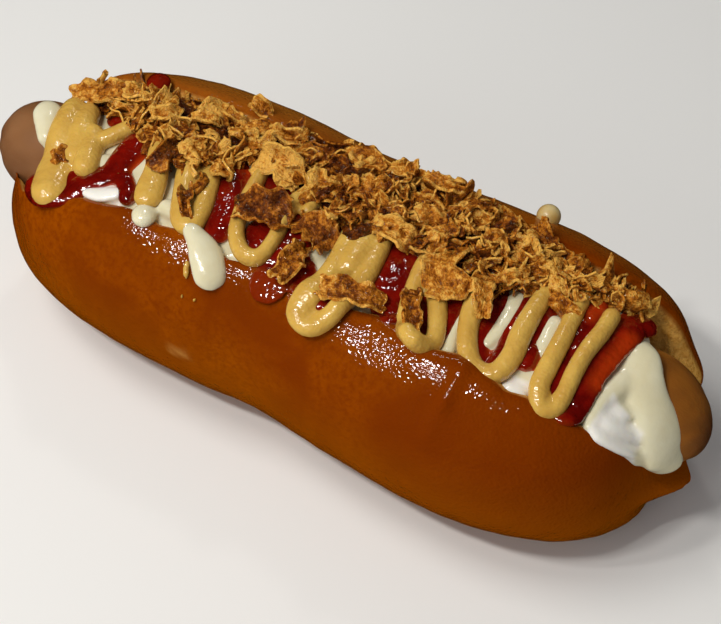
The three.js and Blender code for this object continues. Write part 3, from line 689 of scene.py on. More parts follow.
def roll_rings(stations, outer_steps, wall_steps, arc_steps):
    """Rings round the roll, from the far lip over the outside to the near lip and back inside.

    Outside, a ring is a superellipse, flat below, with a dent at the waist. Inside, it goes
    straight from each lip to where a line touches the sausage's circle, and along that circle.
    """
    s = -np.cos(math.pi * (np.arange(stations) + 0.15) / (stations - 0.7))
    x = (ROLL_MIDDLE + s * ROLL_LENGTH / 2)[:, None]
    _, half, rise, centre, middle = roll_section(x)
    lips = {side: lip(x, side) for side in (-1, 1)}

    def angle(y, z):
        return np.arctan2(signed_power((z - centre) / rise, SECTION_POWER / 2),
                          signed_power((y - middle) / half, SECTION_POWER / 2))

    start, end = angle(*lips[1]), angle(*lips[-1]) - 2 * math.pi
    a = start + (end - start) * np.linspace(0, 1, outer_steps + 1)
    cos = signed_power(np.cos(a), 2 / SECTION_POWER)
    sin = signed_power(np.sin(a), 2 / SECTION_POWER)
    waist = WAIST_DEPTH * np.exp(-((x - WAIST_X) / WAIST_REACH) ** 2) * np.clip(-cos, 0, 1) ** 2
    outside = np.stack(np.broadcast_arrays(
        x, middle + half * cos + waist, np.maximum(centre + rise * sin, 0)), axis=-1)

    hold_y, hold_z = sausage_centre(x)
    touch = {}
    for side, (edge_y, edge_z) in lips.items():
        across, up = side * (edge_y - hold_y), edge_z - hold_z
        reach = np.maximum(np.hypot(across, up), SAUSAGE_RADIUS * 1.001)
        turn = np.arctan2(up, across) - np.arccos(SAUSAGE_RADIUS / reach)
        turn = np.maximum(turn, LOWEST_TOUCH)
        touch[side] = -math.pi - turn if side < 0 else turn
    arc = touch[-1] + (touch[1] - touch[-1]) * np.linspace(0, 1, arc_steps + 1)
    arc_y = hold_y + SAUSAGE_RADIUS * np.cos(arc)
    arc_z = hold_z + SAUSAGE_RADIUS * np.sin(arc)
    t = np.linspace(0, 1, wall_steps + 1)[:-1]
    near_y, near_z = (edge + (first - edge) * t
                      for edge, first in zip(lips[-1], (arc_y[:, :1], arc_z[:, :1])))
    far_y, far_z = (last + (edge - last) * (t + t[1])
                    for edge, last in zip(lips[1], (arc_y[:, -1:], arc_z[:, -1:])))
    y = np.concatenate([near_y[:, 1:], arc_y, far_y[:, :-1]], axis=1)
    z = np.concatenate([near_z[:, 1:], arc_z, far_z[:, :-1]], axis=1)
    y = np.clip(y, lips[-1][0], lips[1][0])
    z = np.minimum(z, roll_top(x, y))
    inside = np.stack(np.broadcast_arrays(x, y, z), axis=-1)
    return np.concatenate([outside, inside], axis=1)


def grid_normals(rings):
    """Outward normals of a closed grid of rings, from the cross product of its two directions."""
    along = np.gradient(rings, axis=0)
    around = np.roll(rings, -1, axis=1) - np.roll(rings, 1, axis=1)
    return unit(np.cross(around, along))


def round_lips(rings, columns, reach, rounds):
    """Softens both edges of the cut by averaging each point with its neighbours round the ring.

    The share of the average falls off with the distance from the edge's column, over reach.
    """
    count = rings.shape[1]
    share = np.zeros(count)
    for column in columns:
        away = np.abs((np.arange(count) - column + count // 2) % count - count // 2)
        share = np.maximum(share, np.clip(1 - away / reach, 0, 1))
    share = share[None, :, None]
    for _ in range(rounds):
        average = (np.roll(rings, 1, axis=1) + np.roll(rings, -1, axis=1)) / 2
        rings = rings + share * 0.5 * (average - rings)
    return rings


def make_roll(settings):
    """The roll in one skin: crust outside, crumb in the cut, uneven all over."""
    stations, outer_steps, wall_steps, arc_steps = 260, 130, 16, 30
    rings = roll_rings(stations, outer_steps, wall_steps, arc_steps)
    rings = round_lips(rings, (0, outer_steps), *LIP_ROUNDING)
    normals = grid_normals(rings)
    x, y, z = np.moveaxis(rings, -1, 0)
    crumb = np.clip((roll_top(x, y) - z) / CRUMB_EDGE - 0.5, 0, 1)
    inside = np.arange(rings.shape[1]) > outer_steps
    crumb = crumb * inside * (np.abs(z) > 1)
    lumps = settings.crust_relief / MM * rough_noise(rings, CRUST_LUMPS, 3)
    lumps += CRUST_DENTS[0] * rough_noise(rings, CRUST_DENTS[1], 11)
    lumps += CRUMB_PITS[0] * crumb * rough_noise(rings, CRUMB_PITS[1], 21)
    lumps *= rising(z, 0, 3)
    for start, end, depth, width in CREASES:
        lumps -= depth * np.exp(-(segment_distance(rings, start, end) / width) ** 2)
    start, end, width = PALE_STREAK
    pale = PALE_SHARE * np.exp(-(segment_distance(rings, start, end) / width) ** 2)
    rings = rings + normals * lumps[..., None]
    grown = rising(x, *TONGUE_X)
    for at_y, at_z, reach_y, reach_z, amount in RIGHT_TONGUES:
        tongue = np.exp(-((y - at_y) / reach_y) ** 2 - ((z - at_z) / reach_z) ** 2)
        rings[..., 0] += amount * tongue * grown
    rings[..., 2] = np.maximum(rings[..., 2], 0)
    points, faces = outward(*closed_tube(rings))
    piece = new_object("roll", points, faces, crust_material(settings.colours), {
        "crumb": np.append(crumb, [0.0, 0.0]), "pale": np.append(pale, [0.0, 0.0])})
    dress(piece, "bun_crust", "bun")


# ---------------------------------------------------------------- sausage
PUCKERS = 7             # folds round each tip
PUCKER_DEPTH, PUCKER_REACH = 0.05, 5.0
SAUSAGE_LUMPS = (0.12, 9.0)     # height and size


def make_sausage(settings):
    """The sausage: a tube with round ends that pucker into shallow folds at the tips."""
    rows, sides = 150, 72
    left, right = SAUSAGE_TIPS
    t = np.arange(rows) / (rows - 1)
    x = (left + right) / 2 - (right - left) / 2 * np.cos(math.pi * t) * 0.9995
    from_tip = np.minimum(x - left, right - x)
    inside = np.clip(1 - from_tip / np.where(x < 0, *SAUSAGE_CAPS), 0, 1)
    share = np.sqrt(np.clip(1 - inside ** 2, 0, 1))
    a = 2 * math.pi * np.arange(sides) / sides
    folds = 1 + np.sin(PUCKERS * a + 1.3 * x[:, None])
    folds = 1 - PUCKER_DEPTH * np.clip(1 - from_tip / PUCKER_REACH, 0, 1)[:, None] * folds
    radius = SAUSAGE_RADIUS * share[:, None] * folds
    centre_y, centre_z = sausage_centre(x)
    rings = np.stack([np.repeat(x[:, None], sides, 1), centre_y[:, None] + radius * np.cos(a),
                      centre_z[:, None] + radius * np.sin(a)], axis=-1)
    height, size = SAUSAGE_LUMPS
    rings += grid_normals(rings) * height * rough_noise(rings, size, 5)[..., None]
    points, faces = outward(*closed_tube(rings))
    tip = np.repeat(np.clip(1 - from_tip / 4, 0, 1) ** 1.5, sides)
    piece = new_object("sausage_skin", points, faces, sausage_material(settings.colours),
                       {"tip": np.append(tip, [1.0, 1.0])})
    dress(piece, "sausage", "sausage")


# ---------------------------------------------------------------- sauces
BED_LUMPS = (0.3, 7.0)      # height and size
BED_EDGE = 1.6              # how far the bed's top rounds down to its edges

# Each strand is a row of knots: x, y and width in plan, and z where it follows a given height.
# In its shape, crown and sole are how far it reaches above and below its middle, lift is how far
# its middle stays above what it lies on, and wobble is how uneven its width is.
MAYONNAISE_SHAPE = {"crown": 1.9, "sole": 1.6, "lift": 0.3, "wobble": 0.06}
MAYONNAISE_RUNS = (
    # what runs out of the bed: patch at the left, small drop, large drip, both legs at the right
    ((-71.5, 3, 5), (-69, 0, 6.5), (-66.5, -4, 5), (-65.5, -7, 3)),
    ((-36, -14.2, 4.4), (-34.4, -16.2, 5.2), (-32.4, -19.2, 5.4)),
    ((-33, -12.6, 4), (-28.4, -13, 4.4), (-24, -14, 4)),
    ((-24.6, -16.0, 3.4), (-21.6, -17.2, 4.6), (-18.4, -19.2, 6.8), (-15.8, -21.8, 7.6),
     (-13.6, -24.8, 7.6)),
    ((67, 0.4, 5), (66.8, -5, 5.5), (66, -10, 5.2), (64.7, -14, 4.4), (64.5, -18, 3.6),
     (65.1, -21.6, 3)),
    ((65.6, -2.2, 4.4, 42.4), (67.4, 0, 4.8, 42), (68.8, 1.6, 4, 41.4)),
    ((66.4, 1.2, 7, 42.6), (67.8, -2.4, 8, 42.6), (69.8, -6.2, 8.4, 41.4), (71.9, -8.4, 8.6, 39.8),
     (74.2, -9.9, 8.8, 38.0), (76.2, -11, 9.2, 35.6), (77.6, -11.8, 9.7, 32.6),
     (78.4, -12.2, 9.4, 29.0), (78.6, -12.4, 8.4, 24.8)),
    ((67.5, -2, 7, 42.4), (68.2, -7, 8, 41.3), (68, -11, 6, 39.8)),
)
FILM_SHAPE = {"crown": 0.9, "sole": 2.4, "lift": 0}
MAYONNAISE_FILM = (
    # smooth film between both legs, down to the near lip
    ((64.6, -20.2, 5, 40.6), (67.6, -19.2, 5.4, 38.9), (70.6, -17.4, 5.6, 36.0),
     (73.2, -14.6, 5.4, 32.0), (75.4, -12.4, 5, 28.6)),
    ((65.4, -17, 5, 41), (68, -16, 5.4, 39.4), (70.8, -14.2, 5.6, 36.8), (73.6, -12, 5.4, 33.2)),
    ((64.6, -13.6, 4.6, 40.9), (68, -13, 5, 40), (70.4, -11.6, 5, 38.2)),
    ((70.4, -17.2, 4, 35), (72.8, -15.2, 4.4, 31.4), (74.8, -13.2, 4.2, 28)),
)
STRIPE_SHAPE = {"crown": 0.5, "sole": 1.5, "lift": 0.85, "wobble": 0.15}
MAYONNAISE_STRIPES = (
    # bed that shows between the ketchup bands
    ((-50.4, -15.2, 2.4), (-45.6, -15, 4.2), (-41.0, -13, 2.6)),
    ((-51.6, -5.6, 2.6), (-49.4, -7.2, 3.4), (-48.4, -9.4, 2.6)),
    ((17.2, -7, 1.6), (18.2, -10.4, 2.6), (19.6, -14, 1.6)),
    ((34.2, -9, 1.6), (34.5, -15, 2.2), (35.4, -21.5, 3)),
    ((41.6, 1, 3.2), (42.2, -7, 3.6), (42, -11.5, 3), (40.8, -16, 2.4)),
    ((50.8, -3, 3.4), (51, -8.7, 3.4), (51.2, -13, 2.4)),
    ((46.8, -22.4, 2.2), (49.6, -21.6, 4.4), (52.6, -22.6, 4.6)),
)
KETCHUP_SHAPE = {"crown": 1.35, "sole": 1.8, "lift": 0.2, "wobble": 0.12}
KETCHUP_RUNS = (
    # from the left: pool under the mustard, bands across the bed, smear over the near lip, and
    # the broad field that covers the right half
    ((-65, -10.5, 5.6), (-62, -15, 6.4), (-57.6, -17.8, 6), (-53.6, -16.2, 6), (-50.4, -12.2, 5.6),
     (-46.8, -9.4, 6.6), (-45.8, -5, 7), (-45.6, 0, 7), (-46, 6, 8)),
    ((-45.4, -8.4, 5), (-41.4, -11.4, 4.4), (-39, -15.4, 3.4)),
    ((-60, -7, 8), (-56, -12, 8), (-52, -10, 6)),
    ((-57, 5.4, 4), (-53, 4.6, 5), (-50, 3.6, 4)),
    ((-45, 7, 6), (-36, 9.5, 5), (-28, 9.5, 5), (-24.5, 4, 6.5), (-21.8, -4, 7), (-19.4, -11, 6.8),
     (-17.4, -16, 6.4)),
    ((-21, 4, 6), (-14, 2, 7), (-9.5, -4, 8), (-10.5, -11, 7.5), (-6, -13, 8), (-3, -6, 9),
     (0.5, 1, 9), (3, 8, 7)),
    ((-1, -9, 6), (-2.0, -14, 7), (-2.4, -17.5, 7)),
    ((0, -12, 6), (4, -18.5, 6), (9, -20.5, 5), (14, -17, 6)),
    ((15, 6, 9), (18, -4, 10), (19.5, -12, 9), (23, -19.6, 6.5)),
    ((24, 6, 9), (26.5, -4, 9), (27.5, -12, 9), (29.5, -20, 6)),
    ((31, 6, 8), (32, -3, 6), (32.1, -12, 4.6), (32.6, -19, 3.4)),
    ((38, 6, 8), (38, -4, 8), (37.8, -12.4, 6.6), (42.2, -19.4, 5), (45.8, -16.6, 6.6), (46.2, -8, 8),
     (46.4, 2, 8), (47, 8, 6)),
    ((49, -11, 4), (49.4, -14, 4.6), (50, -17.4, 4)),
    ((54, 8, 7), (56, 0, 7), (56.2, -10, 8), (55.5, -17, 7), (54.5, -22, 5)),
    ((67.6, 7.2, 5), (65, 5.2, 6.4), (62.9, 2.4, 8.6), (61.6, -3, 8.8), (60.4, -11, 8.4),
     (59.8, -18, 8), (60.4, -23.6, 7)),
)
KETCHUP_SMEAR_SHAPE = {"crown": 0.6, "sole": 1.5, "lift": -0.33}
KETCHUP_SMEAR = ((-2.0, -15, 7), (-3.0, -19, 9), (-4.2, -23.8, 8.4))
KETCHUP_THIN = 1.1      # it counts as thin up to this height above what it lies on
THIN_PLACES = (
    # start and end in plan, and how far it reaches
    ((64.8, -1.2), (63.4, -13.0), 2.8),
    ((-23.5, 3.5), (-20.5, 4.5), 2.6),
    ((56.4, -1.0), (57.0, 4.0), 2.0),
)
THIN_EXTRA = 0.6        # by how much it counts as thinner there
MUSTARD_SHAPE = {"crown": 1.9, "sole": 2.2, "lift": 1.5, "wobble": 0.07}
MUSTARD_LEFT = (
    (-57, -2, 4.6), (-54.4, -2.8, 4.4), (-52.2, -1.4, 4), (-49.8, 1.4, 3.8), (-47, 5, 4),
    (-43.5, 6, 4.6), (-41.2, 2, 5), (-38.8, -3, 5.2), (-37.1, -7, 5.6), (-35.9, -11, 6),
    (-34.4, -15.4, 6.2),
)
MUSTARD_MIDDLE = (
    (-34.5, 6, 4.4), (-33.4, 1.5, 4.6), (-31.4, -4, 4.8), (-28.8, -9.5, 5), (-26.4, -14.4, 5),
    (-23.6, -15.2, 4.4), (-24.2, -10, 4.6), (-26.2, -4, 4.6), (-28.4, 2, 4.4), (-26, 7, 3.6),
    (-21, 7, 3.4), (-18.2, 4, 3.3), (-17.2, -2, 3.3), (-16.2, -8.4, 3.4), (-14.2, -13.6, 3.6),
    (-10.8, -16.8, 3.7), (-7.4, -16.2, 3.6), (-6.8, -11, 3.5), (-7.8, -5, 3.5), (-7.6, 1, 3.3),
    (-6, 5, 3.2), (-4.4, 2, 3.2), (-4.2, -4, 3.2),
)
MUSTARD_RIGHT = (
    (1, 8, 4), (4.5, 4, 4.4), (6.3, -2.5, 4.8), (7.2, -8, 5), (7.3, -14, 5.2), (6.2, -19.5, 5.6),
    (6, -23.6, 6), (9, -25.2, 5.2), (12, -22.6, 4.2), (13, -18.5, 4), (13.8, -12, 4.2),
    (13, -5, 4.4), (12, 2, 4.4), (15, 7, 3.8), (20, 6, 3.8), (22.2, 0, 3.8), (23, -7, 3.8),
    (24.2, -14, 3.8), (26.2, -19.6, 3.8), (29.4, -22, 3.9), (32, -19.2, 3.9), (30.7, -14.6, 3.9),
    (28.7, -10.8, 3.9), (25.8, -6.6, 3.9), (24.5, 0, 3.8), (28, 6, 3.8), (33.5, 5, 4),
    (35.2, -2, 4.2), (35.4, -7, 4.3), (36.0, -11, 4.4), (37.2, -15, 4.5), (39.4, -18.8, 4.5),
    (42.4, -20.8, 4.5), (45.6, -20, 4.5), (46.9, -16, 4.5), (46.4, -10.5, 4.4), (46.4, -3, 4.2),
    (47, 4, 4), (50, 8, 3.9), (52.9, 6, 3.9), (53.2, 0, 3.9), (53.8, -8, 3.8),
    (53.9, -15, 3.9), (54, -19.2, 4.1), (55.8, -22.4, 4.2), (58, -21.4, 4), (58.6, -18, 3.7),
    (58.5, -13.6, 3.6), (58.8, -8, 3.6), (59.6, -2.5, 3.7), (59.8, 3.3, 3.8),
)
PILE_SHAPE = {"crown": 2.6, "sole": 2.2, "lift": 1.4, "wobble": 0.08}
MUSTARD_PILES = (
    # where the line piled up: three folds at the left and a sheet in the middle
    ((-65, 6, 5.4), (-63.7, 1.7, 6), (-62, -4.3, 6.8), (-60.2, -8.6, 7.8), (-58.6, -13, 9),
     (-57.2, -16.8, 8.8), (-55.8, -20.2, 8.4)),
    ((-61.4, 6, 5), (-59.4, 0, 6), (-57.4, -5.4, 6.2), (-56.4, -10, 6)),
    ((-57, 0.6, 4.6), (-54.8, -4, 5.6), (-53.2, -8, 6), (-51.6, -12.4, 6)),
    ((9, 3, 7.4), (9.6, -3, 7.6), (10, -9, 6.6), (9.8, -13.5, 5)),
)
MUSTARD_SMEAR_SHAPE = {"crown": 0.6, "sole": 0.8, "lift": 0.1}
MUSTARD_SMEARS = (
    # thin tail and small drops on the crust, left of the large drip
    ((-21, -21, 1.1), (-20.7, -22.6, 1.5), (-19.8, -24.4, 1.2)),
    ((-20.3, -26.4, 1.3), (-19.4, -26.4, 1.4)),
    ((-17.3, -26.2, 1.3), (-16.5, -26.5, 1.2)),
)
FAR_DROPS = {
    # x, y, width, height of the middle above the crust and half height
    "ketchup_drop": (-51.3, 16.8, 5.4, 0.4, 1.5),
    "mustard_drop": (37.8, 22.4, 5.0, 1.2, 2.5),
}


def bed_rings():
    """The bed between both lips, as rings across it: a lumpy top and a plain underside."""
    along, across = 180, 48
    v = np.linspace(-1, 1, across + 1)
    left = BED_ENDS[0] + BED_SLANTS[0] * v * v
    right = BED_ENDS[1] - BED_SLANTS[1] * np.maximum(v, 0)
    x = left + (right - left) * np.linspace(0, 1, along + 1)[:, None]
    near_y, far_y = lip(x, -1)[0], lip(x, 1)[0]
    y = near_y + (far_y - near_y) * (v + 1) / 2 - BED_GAP * v
    top = np.stack([x, y, settled_bed(x, y)], axis=-1)
    height, size = BED_LUMPS
    top[..., 2] += height * rough_noise(top, size, 31) - BED_EDGE * np.abs(v) ** 8
    bottom = top - [0, 0, BED_DEPTH]
    return np.concatenate([top, bottom[:, ::-1]], axis=1)


# Painted light: places where the mayonnaise is painted whiter, to lift the shade that falls in them
PAINTED_LIGHT_AT_LIP = ((-12.0, -45.8, 5.5), (-18.6, 50.0, 4.0))     # largest y, middle and half length
LEGS_PART = (66.4, -12.8)
LEG_SIDES = ((0.983, -0.183), (-0.23, -0.973))  # directions from each leg into the space between
PAINTED_LIGHT_LIMIT = 73.8       # largest x of that place
PAINTED_LIGHT_FADE = 0.8         # width of the change at its edges


def painted_light_share(points):
    """1 where the mayonnaise is painted whitest, as painted light over what lies in shade: two places
    at the near lip, and between both legs.

    The last one is inside two lines that meet where the legs part.
    """
    x, y = points[:, 0], points[:, 1]
    inside = [np.minimum(largest - y, half - np.abs(x - middle))
              for largest, middle, half in PAINTED_LIGHT_AT_LIP]
    inside.append(np.minimum.reduce([PAINTED_LIGHT_LIMIT - x] + [
        a * (x - LEGS_PART[0]) + b * (y - LEGS_PART[1]) for a, b in LEG_SIDES]))
    return np.clip(np.maximum.reduce(inside) / PAINTED_LIGHT_FADE + 0.5, 0, 1)


def make_mayonnaise(settings):
    """Mayonnaise: the bed round the sausage, what drips over the near lip and off the end."""
    parts = [outward(*closed_tube(bed_rings()))]
    parts += strands(MAYONNAISE_RUNS, MAYONNAISE_SHAPE)
    parts += strands(MAYONNAISE_STRIPES, STRIPE_SHAPE, 20)
    parts += strands(MAYONNAISE_FILM, FILM_SHAPE)
    colours = settings.colours
    material = sauce_material(
        "mayonnaise", colours.mayonnaise, colours.mayonnaise_shade, gloss=0.22, subsurface=0.35,
        radius=(1.0, 0.85, 0.6), relief=0.00006, painted_light=colours.mayonnaise_painted_light)
    piece = new_object("mayonnaise_bed", *gather(parts), material)
    melt(piece, settings.voxel, rounds=16)
    # painted light: whiter between both legs and at two places on the near lip
    set_attribute(piece, "painted_light", painted_light_share(mesh_points(piece)))
    dress(piece, "mayonnaise", "mayonnaise")


def thin_share(piece, thick):
    """How thin a sauce is at each point: 1 on what it lies on, 0 from that height above it.

    Near THIN_PLACES it counts for more.
    """
    x, y, z = mesh_points(piece).T
    share = np.clip(1 - (z - lie_on(x, y)) / thick, 0, 1)
    plan = np.stack([x, y], axis=1)
    for start, end, reach in THIN_PLACES:
        nearness = np.clip(1.3 - segment_distance(plan, start, end) / reach, 0, 1)
        share = share + THIN_EXTRA * nearness
    return np.clip(share, 0, 1)


def far_drop(name, drop, material):
    """A drop that fell on the far half's crust."""
    x, y, width, lift, half_height = FAR_DROPS[drop]
    return new_object(name, *blob(
        (x, y, roll_top(x, y) + lift), (width / 2, width / 2, half_height)), material)


def make_ketchup(settings):
    """Ketchup: wide wet bands to and fro across the roll, with a smear over the near lip."""
    parts = strands(KETCHUP_RUNS, KETCHUP_SHAPE, 60)
    parts += strands([KETCHUP_SMEAR], KETCHUP_SMEAR_SHAPE)
    material = ketchup_material(settings.colours)
    piece = new_object("ketchup_bands", *gather(parts), material)
    melt(piece, settings.voxel, rounds=4)
    thin = thin_share(piece, KETCHUP_THIN)
    x, y, _ = mesh_points(piece).T
    behind = y - lip(x, -1)[0]
    set_attribute(piece, "thin", thin ** 1.5 * np.clip(behind / 4, 0, 1))
    set_attribute(piece, "film", np.clip(-behind / 1.5, 0, 1) * np.clip(2 * thin, 0, 1))
    dress(piece, "ketchup", "ketchup")
    drop = far_drop("ketchup_far_drop", "ketchup_drop", material)
    set_attribute(drop, "thin", np.full(len(drop.data.vertices), 0.08))
    dress(drop, "ketchup", "ketchup_drop")


def make_mustard(settings):
    """Mustard: one smooth round line over the rest, its loops, and where it piled up."""
    parts = strands((MUSTARD_LEFT, MUSTARD_MIDDLE, MUSTARD_RIGHT), MUSTARD_SHAPE, 40)
    parts += strands(MUSTARD_PILES, PILE_SHAPE, 50)
    parts += strands(MUSTARD_SMEARS, MUSTARD_SMEAR_SHAPE)
    colours = settings.colours
    finish = {"subsurface": 0.2, "radius": (1.0, 0.6, 0.15)}
    material = sauce_material("mustard", colours.mustard, colours.mustard_dark,
                              gloss=0.26, relief=0.00022, speckle=0.35, **finish)
    piece = new_object("mustard_line", *gather(parts), material)
    melt(piece, settings.voxel, rounds=5)
    dress(piece, "mustard", "mustard")
    pale = sauce_material("mustard_pale", colours.mustard_pale, colours.mustard_dark,
                          gloss=0.3, relief=0.0001, **finish)
    dress(far_drop("mustard_far_drop", "mustard_drop", pale), "mustard", "mustard_drop")


# ---------------------------------------------------------------- fried onions
# Irrational steps: their multiples, with the whole part dropped, spread evenly from 0 to 1
GOLDEN = 0.6180339887
PLASTIC = 0.7548776662
PLASTIC_SQUARE = 0.5698402910
PLASTIC_REST = 0.3247179572
QUARTIC = 0.8191725134
TRIBONACCI = 0.5436890127
ROOT_OF_2 = 0.4142135624
ROOT_OF_5 = 0.2360679775
LARGE = {"cells": (24, 10), "thickness": 0.8}       # mesh and thickness of larger flakes
FRAY = (0.3, 0.32)      # how far a flake's long edges wander, slowly and quickly
RAGGED = 1.1            # and its ends
PLEATS = 0.35           # height of the folds along its fibres
CREASE = 1.3            # height of its sharp creases


def heap_plan(x):
    """The heap's middle line and half width in plan, and how it thins out at its ends."""
    near, far = along(HEAP_NEAR_EDGE, x), lip(x, 1)[0] + along(HEAP_FAR_EDGE, x)
    u = (x - HEAP_ENDS[0]) / (HEAP_ENDS[1] - HEAP_ENDS[0])
    return (far + near) / 2, (far - near) / 2, np.sqrt(np.clip(1 - (2 * u - 1) ** 6, 0, 1))


def heap_top(x, y):
    """Height of the heap: a rim above what it lies on, and half an ellipse over its width."""
    middle, half, taper = heap_plan(x)
    share = np.clip((y - middle) / half, -1, 1)
    rim = HEAP_NEAR_RIM + (along(HEAP_FAR_RIM, x) - HEAP_NEAR_RIM) * (share + 1) / 2
    return lie_on(x, y) + rim + along(HEAP_HEIGHT, x) * taper * np.sqrt(1 - share * share)


def turn_matrices(yaw, pitch, roll):
    """Rotation matrices: roll about X, then pitch about Y, then yaw about Z."""
    def about(axis, angle):
        matrix = np.zeros((len(angle), 3, 3))
        b, c = (axis + 1) % 3, (axis + 2) % 3
        matrix[:, axis, axis] = 1
        matrix[:, b, b] = matrix[:, c, c] = np.cos(angle)
        matrix[:, c, b] = np.sin(angle)
        matrix[:, b, c] = -np.sin(angle)
        return matrix
    return about(2, yaw) @ about(1, pitch) @ about(0, roll)


def flakes(at, length, width, bend, curl, twist, yaw, pitch, roll, seed, cells, thickness):
    """Crinkled ribbons of fried onion, all at once, as points (flakes, rows, columns, 3).

    A flake is a sheet over u along it and v across it. Its middle line is an arc in height by
    bend and in plan by curl. Across, the sheet follows a circle's arc, off centre and changing
    along the flake, so that one edge stands up more than the other. Noise frays both long edges
    and both ends, ruffles the sheet, most at its edges, pleats it along its fibres and creases
    it sharply where another noise crosses zero; then it is twisted. Also returns the faces and,
    at each point, the distance to the middle (1 at the rim), the ruffle, and the places along
    and across the flake.
    """
    rows, columns = cells
    u = np.linspace(-1, 1, rows + 1)[None, :, None]
    v = signed_power(np.linspace(-1, 1, columns + 1), 0.8)[None, None, :]
    length, width, bend, curl, twist, key = (
        np.asarray(values, float)[:, None, None]
        for values in (length, width, bend, curl, twist, seed))

    def crumple(x, y, size, seed):
        return noise(np.stack(np.broadcast_arrays(x + key * 31, y + key * 17, key * 23), axis=-1),
                     size, seed)

    run, across = u * length / 2, v * width / 2
    side = np.sign(v) * 3
    slow, quick = FRAY
    fray = 1 + slow * crumple(run, side, 2.6, 2) + quick * crumple(run, side, 1.2, 3) * v ** 2
    ragged = RAGGED * crumple(side, across, 1.2, 9) * np.abs(u) ** 4
    radius = length / np.maximum(np.abs(bend), 0.05)
    a = u * bend / 2
    px = radius * np.sin(np.abs(a)) * np.sign(u) + ragged
    pz = np.sign(bend) * radius * (np.cos(a) - 1)
    fold = (0.6 + 0.9 * fraction(key * 0.618)) * 1.7 / (1 + width / 6)
    fold = fold * np.where(fraction(key * 0.377) < 0.7, 1, -1) * (1 + 0.4 * crumple(run, 0, 4.0, 12))
    lean = 0.5 * (fraction(key * 0.755) - 0.5)
    half = width / 2 * (1 - 0.2 * u ** 4) * fray
    py = half * (np.sin(fold * (v + lean)) - np.sin(fold * lean)) / fold
    cup = half * (np.cos(fold * lean) - np.cos(fold * (v + lean))) / fold
    ruffle = crumple(run, side, 1.7, 5) * (0.15 + 0.8 * np.abs(v) ** 1.5) * (0.65 + width / 11)
    ruffle = ruffle + PLEATS * crumple(run * 0.4, across, 1.1, 6)
    ruffle = ruffle + CREASE * (0.3 - np.abs(crumple(run, across, 2.3, 7)))
    py = py + curl * length * (u ** 2 - 0.4)
    pz = pz + cup + ruffle
    turn = twist * u
    py, pz = py * np.cos(turn) - pz * np.sin(turn), py * np.sin(turn) + pz * np.cos(turn)
    sheet = np.stack([px, py, pz], axis=-1)
    normal = unit(np.cross(np.gradient(sheet, axis=1), np.gradient(sheet, axis=2)))
    rim = np.broadcast_to(np.maximum(np.abs(u), np.abs(v)), sheet.shape[:3])
    thick = thickness / 2 * (1 - 0.3 * rim ** 6)[..., None]
    shell = np.concatenate([sheet + normal * thick, (sheet - normal * thick)[:, :, ::-1]], axis=2)

    def both(values, back=1):
        values = np.broadcast_to(values, sheet.shape[:3])
        return np.concatenate([values, back * values[:, :, ::-1]], axis=2)

    spin = turn_matrices(yaw, pitch, roll)
    placed = np.einsum("nij,nrcj->nrci", spin, shell) + np.asarray(at)[:, None, None]
    count = 2 * (columns + 1)
    faces = band_faces(rows + 1, count, True)[:, ::-1]
    j = np.arange(columns)
    start = np.stack([j, j + 1, count - 2 - j, count - 1 - j], axis=-1)
    faces = np.vstack([faces, start, start[:, ::-1] + rows * count])
    step = (rows + 1) * count
    faces = (faces[None] + step * np.arange(len(placed))[:, None, None]).reshape(-1, 4)
    return placed, faces, both(rim), both(ruffle, -1), both(run + key * 31), both(across + key * 17)


def flake_piece(name, material, specs, tone, **mesh):
    """Flakes as one piece, with the numbers its material reads: tone, rim and fibre places."""
    placed, faces, rim, ruffle, run, across = flakes(**specs, **mesh)
    # painted shade: darker in the ruffle's valleys and paler on its ridges
    tone = np.broadcast_to(np.asarray(tone, float)[:, None, None], rim.shape) - 0.25 * ruffle
    piece = new_object(name, placed.reshape(-1, 3), faces.tolist(), material, {
        "tone": tone, "edge": rim ** 8, "fibre_along": run, "fibre_across": across})
    piece.data.set_sharp_from_angle(angle=math.radians(60))
    return piece


def sequence(count, step, start=0.5):
    """Evenly spread values from 0 to 1: multiples of an irrational step, whole part dropped."""
    return fraction(start + np.arange(count) * step)


def heap_flakes(count, small, layers, seed):
    """Sizes, places and turns of the heap's flakes, spread evenly by irrational steps.

    Small scales their size and layers is how deep below the heap's top they go.
    """
    share, across = sequence(count, PLASTIC), sequence(count, PLASTIC_SQUARE)
    a, b = sequence(count, GOLDEN, 0.1 + seed), sequence(count, QUARTIC, seed)
    c, d = sequence(count, ROOT_OF_2, 0.7 + seed), sequence(count, PLASTIC_REST, 0.3 + seed)
    x = HEAP_ENDS[0] + (HEAP_ENDS[1] - HEAP_ENDS[0]) * share
    middle, half, _ = heap_plan(x)
    y = middle + 0.95 * half * (2 * across - 1)
    level = -layers + (layers - 0.2) * d
    return {
        "at": np.stack([x, y, heap_top(x, y) + level], axis=1),
        "length": small * (4.6 + 6.4 * b ** 2), "width": small * (2.1 + 3.2 * c ** 1.5),
        "bend": (0.5 + 2.2 * a) * np.where(b > 0.25, 1, -1), "curl": 0.4 * (c - 0.5),
        "twist": 1.2 * (d - 0.5), "yaw": 2 * math.pi * sequence(count, ROOT_OF_5, seed),
        "pitch": 0.8 * (a - 0.5), "roll": 2.4 * (c - 0.5), "seed": np.arange(count) + 100 * seed,
        # how deep the flake lies, which make_onions turns into painted shade
        "depth": 1 - d,
    }


